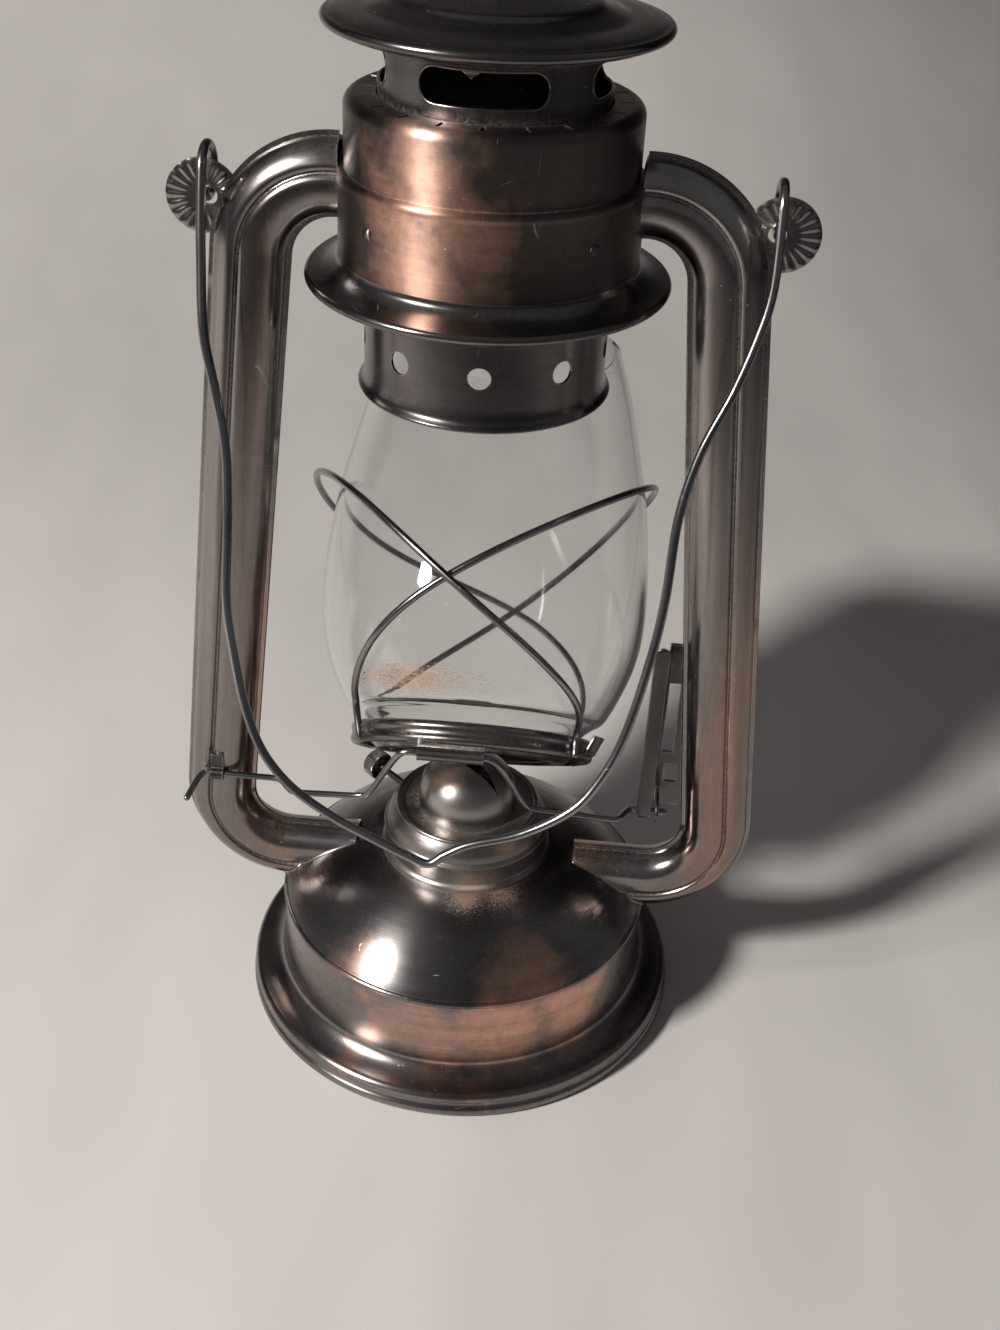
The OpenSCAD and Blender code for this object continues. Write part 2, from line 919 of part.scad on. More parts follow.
module thumb_tab() {
    tab_w = 8;
    color("#6a5c55")
    tipped()
    rotate([0, 0, -22])
    translate([0, tab_w / 2, 0])
    rotate([90, 0, 0])
    linear_extrude(tab_w)
    polygon(strip([[plate_r + 0.1, -1.9], [41.6, -1.4], [44.6, 4.4]], 0.8));
}

// Guard wires: each one wraps its own side of the glass and stands on the plate's rim

foot_angle = 146;
// Each wire's middle height, its rise, its dip to the rim, how far its top leans round, its skew and
// its gap to the glass
left_guard = [47.8, 36.4, 13.4, -17.8, 8.5, 8.3];
right_guard = [48.9, 39.9, 6.9, -3, 2.5, 3.5];
function guard_s(shape, a) =
    let (away = 1 - (a / foot_angle) ^ 4)
    shape[0] + shape[1] * cos(a - shape[3] * away) + shape[4] * away * sin(2 * a)
        - shape[2] * (max(abs(a) - 100, 0) / 46) ^ 2;
guard_base = [5, 38.6];
function glass_r(s) = lookup(
    max(s, guard_base[0]),
    concat([guard_base], [for (p = glass_line) if (p[1] > 11.9) [p[1], p[0]]])
);
function guard_r(shape, a) =
    let (blend = (max(abs(a) - 118, 0) / (foot_angle - 118)) ^ 2)
    glass_r(guard_s(shape, a)) + shape[5] * (1 - blend) + 2.1 * blend;
function guard_point(turn, shape, a) = [
    guard_r(shape, a) * cos(turn + a),
    guard_r(shape, a) * sin(turn + a),
    guard_s(shape, a)
];
function guard_foot(turn, a) =
    (plate_r + guard_wire_r + 0.05) * [cos(turn + a), sin(turn + a), 0] + [0, 0, -2];

module guard_wire(turn, shape) {
    route = concat(
        [guard_foot(turn, -foot_angle)],
        [for (a = [-foot_angle:5.84:foot_angle + 0.1]) guard_point(turn, shape, a)],
        [guard_foot(turn, foot_angle)]
    );
    tipped() wire(route, guard_wire_r, [cos(turn), sin(turn), 0]);
}

module guard_wire_left() {
    color("#3f3c3a") guard_wire(180, left_guard);
}

module guard_wire_right() {
    color("#3f3c3a") guard_wire(0, right_guard);
}

// Lift crank: a bent wire across the front and the lever that turns it

lift_route = [
    [-87.6, -20, 77.4], [-86.6, -15.4, 78.6], [-85.4, -11.2, 79.8], [-83.8, -9.6, 80.2],
    [-82.6, -9.6, 80.2], [-72, -9.6, 80.2], [-61.6, -9.6, 80.2], [-58.8, -10.8, 80.3], [-56, -14.6, 80.7],
    [-53, -16.8, 81], [-42, -17, 81.5], [-33, -17, 82], [-29.6, -18.2, 84.6],
    [-24.8, -20.6, 94], [-20.4, -22.7, 102.6], [-17.6, -23.2, 105.2],
    [-13, -23.2, 105.2], [-4, -23.2, 105.2], [5, -23.2, 105.2], [8.4, -23.2, 104.8],
    [11.4, -22.4, 101.6], [14.4, -20.8, 95.6], [18.2, -18.2, 86.6], [21.8, -17, 82.8],
    [30, -17, 82.2], [46, -17, 81.3], [49, -16, 81.1], [51, -12, 80.5],
    [52.6, -9.6, 80.2], [53.8, -9.6, 80.2], [58, -9.6, 80.2], [63.4, -9.6, 80.2]
];

module lift_wire() {
    color("#57504c") wire(curve(lift_route, 2), lift_wire_r, [0, 0, 1]);
}

module lift_lever() {
    wall = 0.8;
    eye_r = 2.4;
    color("#6e6864")
    translate([lever_x, crank_axis[0], crank_axis[1]])
    difference() {
        union() {
            translate([-lever_w / 2 + 0.6, 0, 0])
            rotate([0, 90, 0])
            cylinder(r = eye_r, h = lever_w - 1.2, $fn = SMALL_FN);
            rotate([0, lever_lean, 0])
            lever_blade(wall, eye_r + 0.3);
        }
        translate([-lever_w, 0, 0])
        rotate([0, 90, 0])
        cylinder(r = lift_wire_r + 0.03, h = 2 * lever_w, $fn = SMALL_FN);
    }
}

// Channel with its web in front and a round upper end
module lever_blade(wall, front) {
    top = lever_length - lever_w / 2;
    rotate([90, 0, 0])
    translate([0, 0, front - wall])
    linear_extrude(wall)
    union() {
        translate([-lever_w / 2, 0]) square([lever_w, top]);
        translate([0, top]) circle(lever_w / 2);
    }
    for (x = [-lever_w / 2, lever_w / 2 - wall])
        translate([x, -front, 4])
        cube([wall, lever_depth, top - 6]);
}

// The tube's inner flange edge at height z
function inner_edge(z) =
    tube_foot_x - (z - tube_foot_z) * tan(tube_lean) - flange_a / cos(tube_lean);

module lever_bracket() {
    low = 77.2;
    high = 137.5;
    color("#5a5450")
    difference() {
        union() {
            rotate([90, 0, 0])
            linear_extrude(bracket_t)
            polygon([
                [57.6, low], [inner_edge(low), low], [inner_edge(high), high], [59.9, high]
            ]);
            translate([ear_plate_x, 0, 0])
            rotate([90, 0, 90])
            linear_extrude(1)
            union() {
                translate(crank_axis) circle(3.6, $fn = SMALL_FN);
                translate([crank_axis[0], low]) square([-crank_axis[0], 6.6]);
            }
        }
        translate([61, -5, 97.5]) cube([3.4, 10, 26]);
        translate([62.4, -5, 86]) cube([4, 10, 7]);
        translate([ear_plate_x - 1, crank_axis[0], crank_axis[1]])
        rotate([0, 90, 0])
        cylinder(r = lift_wire_r + running_gap, h = 3, $fn = SMALL_FN);
    }
}

// Saddle that holds the wire against the front of the left tube
module wire_clip() {
    width = clip_to - clip_from;
    color("#57504c")
    difference() {
        union() {
            translate([clip_from, crank_axis[0], crank_axis[1]])
            rotate([0, 90, 0])
            cylinder(r = lift_wire_r + 1, h = width, $fn = SMALL_FN);
            translate([clip_from, crank_axis[0] + 0.2, crank_axis[1]])
            cube([width, 1.8, 7]);
        }
        translate([clip_from - 1, crank_axis[0], crank_axis[1]])
        rotate([0, 90, 0])
        cylinder(r = lift_wire_r + running_gap, h = width + 2, $fn = SMALL_FN);
        mirror([1, 0, 0]) along_leg() solid_section();
    }
}

fount_skirt();
fount_dome();
fount_bottom();
filler_neck();
filler_gasket();
filler_cap();
burner_body();
burner_collar();
burner_cone();
wick_tube();
wick();
wick_spindle();
wick_wheels();
wick_knob();
tube_left_front();
tube_left_back();
tube_right_front();
tube_right_back();
ear_left();
ear_right();
bail();
chamber_lower();
chamber_upper();
chamber_brim();
chamber_rivets();
chimney_neck();
globe_collar();
hood_liner();
chimney_hood();
hood_staple();
hood_ring();
globe();
globe_plate();
plate_gallery();
plate_barrel();
thumb_tab();
guard_wire_left();
guard_wire_right();
lift_wire();
lift_lever();
lever_bracket();
wire_clip();
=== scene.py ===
"""Looks of the hurricane lantern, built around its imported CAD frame.

Sizes are in millimetres in the lantern's own frame: +Z up, right tube along +X, front along -Y, and
the origin in the middle of the foot. Meshes are turned into metres when they are made.
"""

import json
import logging
import math
from dataclasses import dataclass, field
from enum import Enum

import bmesh
import bpy
import numpy as np
from mathutils import Matrix, Vector

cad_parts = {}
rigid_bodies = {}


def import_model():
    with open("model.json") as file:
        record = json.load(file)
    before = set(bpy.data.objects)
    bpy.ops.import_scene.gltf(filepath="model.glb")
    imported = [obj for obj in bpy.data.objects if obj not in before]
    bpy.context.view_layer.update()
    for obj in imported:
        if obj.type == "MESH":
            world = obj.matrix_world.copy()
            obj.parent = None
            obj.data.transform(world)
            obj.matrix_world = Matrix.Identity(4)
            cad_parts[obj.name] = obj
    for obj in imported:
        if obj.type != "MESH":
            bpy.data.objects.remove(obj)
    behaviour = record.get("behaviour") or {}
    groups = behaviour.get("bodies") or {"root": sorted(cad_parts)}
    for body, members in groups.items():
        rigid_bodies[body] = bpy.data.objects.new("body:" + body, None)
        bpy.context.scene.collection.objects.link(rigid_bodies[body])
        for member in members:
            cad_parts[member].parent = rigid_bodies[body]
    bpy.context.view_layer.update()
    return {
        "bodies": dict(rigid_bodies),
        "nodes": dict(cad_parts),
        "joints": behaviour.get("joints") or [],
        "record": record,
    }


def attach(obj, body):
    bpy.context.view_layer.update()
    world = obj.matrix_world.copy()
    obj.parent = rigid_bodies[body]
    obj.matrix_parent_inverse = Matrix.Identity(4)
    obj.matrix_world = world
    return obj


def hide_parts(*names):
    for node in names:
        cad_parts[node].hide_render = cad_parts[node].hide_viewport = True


MM = 0.001
CREASE = math.radians(38)
FULL_TURN = 2 * math.pi

log = logging.getLogger("lantern")


# Lines and surfaces


def smooth_line(points: list, steps: int) -> np.ndarray:
    """A smooth line through the points, by cubic stretches whose slopes follow the neighbours.

    Args:
        points: Places along the line, one row each.
        steps: Number of steps from each point to the next.

    Returns:
        The points of the line, one row each.
    """
    line = np.asarray(points, float)
    before = np.vstack([line[:1], line[:-2]])[:, None]
    here, there = line[:-1, None], line[1:, None]
    after = np.vstack([line[2:], line[-1:]])[:, None]
    t = (np.arange(steps) / steps)[None, :, None]
    curve = 0.5 * (
        2 * here
        + (there - before) * t
        + (2 * before - 5 * here + 4 * there - after) * t**2
        + (3 * here - before - 3 * there + after) * t**3
    )
    return np.vstack([curve.reshape(-1, line.shape[1]), line[-1:]])


def rounded_line(points: list, radius: float, steps: int = 4) -> np.ndarray:
    """A line whose corners are rounded by short parabolas that start radius before each corner.

    Args:
        points: The line's corners, one row each.
        radius: How far from its corner each parabola starts, at most 0.45 of a side.
        steps: Number of steps round each corner.

    Returns:
        The points of the line, one row each.
    """
    line = np.asarray(points, float)
    side = np.linalg.norm(np.diff(line, axis=0), axis=1, keepdims=True)
    heading = np.diff(line, axis=0) / side
    reach = np.minimum(radius, 0.45 * side)
    start = line[1:-1] - heading[:-1] * reach[:-1]
    end = line[1:-1] + heading[1:] * reach[1:]
    t = np.linspace(0, 1, steps + 1)[None, :, None]
    bend = (1 - t) ** 2 * start[:, None] + 2 * t * (1 - t) * line[1:-1, None] + t**2 * end[:, None]
    return np.vstack([line[:1], bend.reshape(-1, 2), line[-1:]])


def arc(centre: tuple[float, float], radius: float, start: float, end: float, steps: int) -> np.ndarray:
    """Points on a circle about centre, from angle start to angle end in degrees.

    Args:
        centre: Middle of the circle.
        radius: Its radius.
        start: First angle.
        end: Last angle.
        steps: Number of steps between them.

    Returns:
        The points, one row each.
    """
    angle = np.radians(np.linspace(start, end, steps + 1))
    return np.asarray(centre) + radius * np.stack([np.cos(angle), np.sin(angle)], axis=1)


def even_line(line: np.ndarray, count: int) -> np.ndarray:
    """The same line with count points spaced evenly along its length.

    Args:
        line: Points of the line, one row each.
        count: Number of points wanted.

    Returns:
        The evenly spaced points.
    """
    run = np.concatenate([[0], np.cumsum(np.linalg.norm(np.diff(line, axis=0), axis=1))])
    stops = np.linspace(0, run[-1], count)
    return np.stack([np.interp(stops, run, column) for column in line.T], axis=1)


def beside(line: np.ndarray, t: float) -> np.ndarray:
    """The line moved to its left by t, along the bisector of each corner.

    Args:
        line: Points of the line, one row each.
        t: Distance between the two lines.

    Returns:
        The moved points, in the same order.
    """
    heading = np.diff(line, axis=0)
    heading /= np.linalg.norm(heading, axis=1, keepdims=True)
    left = np.stack([-heading[:, 1], heading[:, 0]], axis=1)
    before = np.vstack([left[:1], left])
    after = np.vstack([left, left[-1:]])
    out = before + after
    out /= np.linalg.norm(out, axis=1, keepdims=True)
    return line + out * t / np.sum(out * after, axis=1, keepdims=True)


def sheet_outline(line: np.ndarray, t: float) -> np.ndarray:
    """Closed outline of a sheet of thickness t on the left of a line."""
    return np.vstack([line, beside(line, t)[::-1]])


@dataclass
class Shell:
    """One closed surface: its points, its faces, and the lengths along its grid at each face corner."""

    points: np.ndarray
    faces: list[list[int]]
    lengths: np.ndarray

    def turned(self, turn: np.ndarray, shift: tuple[float, float, float] = (0, 0, 0)) -> "Shell":
        """The same shell turned by a matrix and then shifted."""
        return Shell(self.points @ turn.T + np.asarray(shift, float), self.faces, self.lengths)


def grid_shell(points: np.ndarray, ring_rows: bool, ring_columns: bool, capped: bool = False) -> Shell:
    """Joins a grid of points with quads.

    Args:
        points: Array of rows by columns by 3.
        ring_rows: Whether the last row meets the first.
        ring_columns: Whether the last column meets the first.
        capped: Whether the first and last row are each closed by one face.

    Returns:
        The shell, whose lengths run along the rows' order and along the columns' order in metres.
    """
    rows, columns = points.shape[:2]
    i = np.arange(rows if ring_rows else rows - 1)[:, None]
    j = np.arange(columns if ring_columns else columns - 1)[None, :]
    i_next, j_next = (i + 1) % rows, (j + 1) % columns
    corners = (i * columns + j, i_next * columns + j, i_next * columns + j_next, i * columns + j_next)
    quads = np.stack(corners, axis=-1).reshape(-1, 4)
    along_rows = np.linalg.norm(points - np.roll(points, -1, axis=0), axis=2).mean(axis=1)
    along_columns = np.linalg.norm(points - np.roll(points, -1, axis=1), axis=2).mean(axis=0)
    u = MM * np.concatenate([[0], np.cumsum(along_rows)])
    v = MM * np.concatenate([[0], np.cumsum(along_columns)])
    us = np.stack([u[i] + 0 * j, u[i + 1] + 0 * j, u[i + 1] + 0 * j, u[i] + 0 * j], axis=-1)
    vs = np.stack([v[j] + 0 * i, v[j] + 0 * i, v[j + 1] + 0 * i, v[j + 1] + 0 * i], axis=-1)
    lengths = np.stack([us, vs], axis=-1).reshape(-1, 2)
    faces = quads.tolist()
    if capped:
        first, last = np.arange(columns), (rows - 1) * columns + np.arange(columns)
        faces += [first[::-1].tolist(), last.tolist()]
        lengths = np.vstack([lengths, np.zeros((2 * columns, 2))])
    return Shell(points.reshape(-1, 3), faces, lengths)


def revolved(outline: np.ndarray, steps: int = 160) -> Shell:
    """Turns a closed outline of radius and height about the Z axis.

    Each grid point is (r cos a, r sin a, z), with a along the rows and the outline along the columns.

    Args:
        outline: Radius and height, one row each.
        steps: Number of steps in the full turn.

    Returns:
        The closed shell.
    """
    a = FULL_TURN * np.arange(steps)[:, None] / steps
    r, z = outline[None, :, 0], outline[None, :, 1]
    grid = np.stack([r * np.cos(a), r * np.sin(a), z + 0 * a], axis=-1)
    return grid_shell(grid, ring_rows=True, ring_columns=True)


def swept(route: np.ndarray, section: np.ndarray, side: np.ndarray, swell: np.ndarray | float = 1) -> Shell:
    """Carries a closed section along a route.

    At each point the section's first value goes along the part of `side` that is square to the route,
    and its second value along the direction square to both.

    Args:
        route: Points of the route, one row each.
        section: Closed section, one row of two values each.
        side: A direction for each point of the route, or one for all.
        swell: Scale of the section at each point of the route, or one for all.

    Returns:
        The shell, closed by a face at each end.
    """
    heading = np.gradient(route, axis=0)
    heading /= np.linalg.norm(heading, axis=1, keepdims=True)
    side = np.broadcast_to(side, route.shape)
    across = side - np.sum(side * heading, axis=1, keepdims=True) * heading
    across /= np.linalg.norm(across, axis=1, keepdims=True)
    up = np.cross(heading, across)
    scale = np.broadcast_to(swell, len(route))[:, None, None]
    grid = route[:, None] + scale * (
        section[None, :, :1] * across[:, None] + section[None, :, 1:] * up[:, None]
    )
    return grid_shell(grid, ring_rows=False, ring_columns=True, capped=True)


def wire_shell(route: np.ndarray, radius: float, side: np.ndarray, sides: int = 14) -> Shell:
    """A round wire with domed ends.

    The ends are four rings that leave the route's end by radius times the sine of an angle, while the
    section shrinks by its cosine.

    Args:
        route: Points of the route, one row each.
        radius: The wire's radius.
        side: A direction for each point of the route, or one for all.
        sides: Number of sides of the section.

    Returns:
        The closed shell.
    """
    angle = np.radians([84.0, 60.0, 34.0, 0.0])
    first = (route[0] - route[1]) / np.linalg.norm(route[0] - route[1])
    last = (route[-1] - route[-2]) / np.linalg.norm(route[-1] - route[-2])
    head = route[0] + radius * np.sin(angle)[:, None] * first
    tail = route[-1] + radius * np.sin(angle[::-1])[:, None] * last
    line = np.vstack([head, route[1:-1], tail])
    swell = np.concatenate([np.cos(angle), np.ones(len(route) - 2), np.cos(angle[::-1])])
    side = np.broadcast_to(side, route.shape)
    sides_along = np.vstack([np.repeat(side[:1], 4, axis=0), side[1:-1], np.repeat(side[-1:], 4, axis=0)])
    section = radius * arc((0, 0), 1, 0, 360 * (1 - 1 / sides), sides - 1)
    return swept(line, section, sides_along, swell)


def turn_matrix(axis: str, degrees: float) -> np.ndarray:
    """A turn about one axis of the frame as a 3 by 3 array."""
    return np.array(Matrix.Rotation(math.radians(degrees), 3, axis))


# Making Blender objects


def finish_mesh(mesh: bpy.types.Mesh) -> None:
    """Closes seams and poles, points the faces outwards and shades all but the creases smooth."""
    work = bmesh.new()
    work.from_mesh(mesh)
    bmesh.ops.remove_doubles(work, verts=work.verts, dist=1e-7)
    bmesh.ops.dissolve_degenerate(work, edges=work.edges, dist=1e-8)
    bmesh.ops.recalc_face_normals(work, faces=work.faces)
    work.to_mesh(mesh)
    work.free()
    smooth_shade(mesh)


def smooth_shade(mesh: bpy.types.Mesh) -> None:
    """Shades a mesh smooth, apart from edges sharper than the crease angle."""
    mesh.polygons.foreach_set("use_smooth", np.ones(len(mesh.polygons), bool))
    mesh.set_sharp_from_angle(angle=CREASE)


def new_object(name: str, shells: list[Shell]) -> bpy.types.Object:
    """Makes one object from closed shells.

    Args:
        name: The object's name.
        shells: Its shells, in millimetres.

    Returns:
        The object, at the origin, with the shells' lengths as its UV map.
    """
    starts = np.cumsum([0] + [len(shell.points) for shell in shells])
    points = MM * np.vstack([shell.points for shell in shells])
    faces = [[start + k for k in face] for shell, start in zip(shells, starts) for face in shell.faces]
    mesh = bpy.data.meshes.new(name)
    mesh.from_pydata(points, [], faces)
    run = mesh.uv_layers.new(name="run")
    run.data.foreach_set("uv", np.vstack([shell.lengths for shell in shells]).ravel())
    finish_mesh(mesh)
    obj = bpy.data.objects.new(name, mesh)
    bpy.context.scene.collection.objects.link(obj)
    return obj


def pierce(obj: bpy.types.Object, cutters: list[Shell]) -> None:
    """Cuts the space of the cutters out of an object's mesh.

    Args:
        obj: The object to cut.
        cutters: Closed shells, in millimetres.
    """
    tool = new_object("hole_cutter", cutters)
    cut = obj.modifiers.new("holes", "BOOLEAN")
    cut.operation = "DIFFERENCE"
    cut.solver = "EXACT"
    cut.object = tool
    scene_state = bpy.context.evaluated_depsgraph_get()
    whole = obj.data
    obj.data = bpy.data.meshes.new_from_object(obj.evaluated_get(scene_state))
    obj.modifiers.clear()
    bpy.data.meshes.remove(whole)
    tool_mesh = tool.data
    bpy.data.objects.remove(tool)
    bpy.data.meshes.remove(tool_mesh)
    smooth_shade(obj.data)


def radial_cutter(loop: np.ndarray, inner: float, outer: float) -> Shell:
    """A plug that cuts straight out from the Z axis.

    Each grid point is (r cos a, r sin a, z), with the loop's angle and height, at both radii.

    Args:
        loop: Angle in radians and height of the hole's rim, one row each.
        inner: Radius where the plug starts.
        outer: Radius where it ends.

    Returns:
        The closed shell.
    """
    r = np.linspace(inner, outer, 4)[:, None]
    a, z = loop[None, :, 0], loop[None, :, 1]
    grid = np.stack([r * np.cos(a), r * np.sin(a), z + 0 * r], axis=-1)
    return grid_shell(grid, ring_rows=False, ring_columns=True, capped=True)


def softened_copy(name: str, node: bpy.types.Object, width: float) -> bpy.types.Object:
    """A copy of a CAD node with its triangles merged and its sharp edges rounded.

    Args:
        name: Name of the copy.
        node: The CAD node.
        width: Width of the rounding in millimetres.

    Returns:
        The copy, at the origin.
    """
    work = bmesh.new()
    work.from_mesh(node.data)
    bmesh.ops.remove_doubles(work, verts=work.verts, dist=2e-7)
    bmesh.ops.dissolve_limit(work, angle_limit=math.radians(0.5), verts=work.verts, edges=work.edges)
    sharp = [
        edge
        for edge in work.edges
        if edge.is_manifold and edge.calc_face_angle() > CREASE and edge.calc_length() > 3e-4
    ]
    if width > 0:
        bmesh.ops.bevel(
            work, geom=sharp, offset=width * MM, segments=2, profile=0.5, affect="EDGES", clamp_overlap=True
        )
    mesh = bpy.data.meshes.new(name)
    work.to_mesh(mesh)
    work.free()
    smooth_shade(mesh)
    obj = bpy.data.objects.new(name, mesh)
    bpy.context.scene.collection.objects.link(obj)
    return obj


# Shader node groups


class Wiring:
    """Adds nodes to one node tree and connects them."""

    def __init__(self, tree: bpy.types.NodeTree) -> None:
        """Keeps the tree that the nodes go to."""
        self.tree = tree

    def feed(self, socket: bpy.types.NodeSocket, value: object) -> None:
        """Links a socket to another, or sets its value."""
        if isinstance(value, bpy.types.NodeSocket):
            self.tree.links.new(value, socket)
        elif socket.type == "RGBA":
            socket.default_value = (*value, 1)
        else:
            socket.default_value = value

    def node(self, kind: str, inputs: dict | None = None, **settings: object) -> bpy.types.Node:
        """Adds a node.

        Args:
            kind: The node's type name.
            inputs: Values or sockets for its inputs, by name or number.
            settings: Its other properties.

        Returns:
            The node.
        """
        node = self.tree.nodes.new(kind)
        for name, value in settings.items():
            setattr(node, name, value)
        for name, value in (inputs or {}).items():
            self.feed(node.inputs[name], value)
        return node

    def math(self, operation: str, *values: object, clamp: bool = False) -> bpy.types.NodeSocket:
        """The result of a Math node."""
        node = self.node("ShaderNodeMath", dict(enumerate(values)), operation=operation, use_clamp=clamp)
        return node.outputs[0]

    def vector(self, operation: str, *values: object) -> bpy.types.NodeSocket:
        """The result of a Vector Math node, a number for LENGTH, DOT_PRODUCT and DISTANCE."""
        node = self.node("ShaderNodeVectorMath", dict(enumerate(values)), operation=operation)
        number = operation in ("LENGTH", "DOT_PRODUCT", "DISTANCE")
        return node.outputs["Value" if number else "Vector"]

    def scaled(self, vector: object, scale: object) -> bpy.types.NodeSocket:
        """A vector times a number."""
        node = self.node("ShaderNodeVectorMath", {0: vector, "Scale": scale}, operation="SCALE")
        return node.outputs["Vector"]

    def mixed(self, factor: object, a: object, b: object) -> bpy.types.NodeSocket:
        """Colour a where the factor is 0, colour b where it is 1."""
        node = self.node("ShaderNodeMix", {0: factor, 6: a, 7: b}, data_type="RGBA")
        return node.outputs[2]

    def noise(self, vector: object, scale: object, detail: float = 3, rough: float = 0.5) -> bpy.types.NodeSocket:
        """Smooth noise between 0 and 1."""
        inputs = {"Vector": vector, "Scale": scale, "Detail": detail, "Roughness": rough}
        return self.node("ShaderNodeTexNoise", inputs).outputs[0]

    def ranged(self, value: object, low: object, high: object, to_low: object = 0, to_high: object = 1) -> bpy.types.NodeSocket:
        """A value between low and high spread from to_low to to_high, and held at its ends."""
        inputs = {0: value, 1: low, 2: high, 3: to_low, 4: to_high}
        return self.node("ShaderNodeMapRange", inputs, clamp=True).outputs[0]

    def group(self, tree: bpy.types.NodeTree, **inputs: object) -> bpy.types.Node:
        """Places a node group with its own values; a name's underscore stands for a space."""
        node = self.node("ShaderNodeGroup", node_tree=tree)
        for name, value in inputs.items():
            self.feed(node.inputs[name.replace("_", " ")], value)
        return node


class Sockets(Enum):
    """Kinds of group socket."""

    NUMBER = "NodeSocketFloat"
    VECTOR = "NodeSocketVector"
    COLOUR = "NodeSocketColor"


def start_group(
    name: str, inputs: dict[str, Sockets], outputs: dict[str, Sockets]
) -> tuple[bpy.types.NodeTree, Wiring, bpy.types.NodeOutputs, bpy.types.Node]:
    """Starts a shader node group.

    Args:
        name: The group's name.
        inputs: Kinds of its inputs by name.
        outputs: Kinds of its outputs by name.

    Returns:
        The tree, its wiring, the sockets that bring the inputs, and the node that takes the outputs.
    """
    tree = bpy.data.node_groups.new(name, "ShaderNodeTree")
    for label, kind in inputs.items():
        tree.interface.new_socket(name=label, in_out="INPUT", socket_type=kind.value)
    for label, kind in outputs.items():
        tree.interface.new_socket(name=label, in_out="OUTPUT", socket_type=kind.value)
    entry = tree.nodes.new("NodeGroupInput")
    leave = tree.nodes.new("NodeGroupOutput")
    return tree, Wiring(tree), entry.outputs, leave


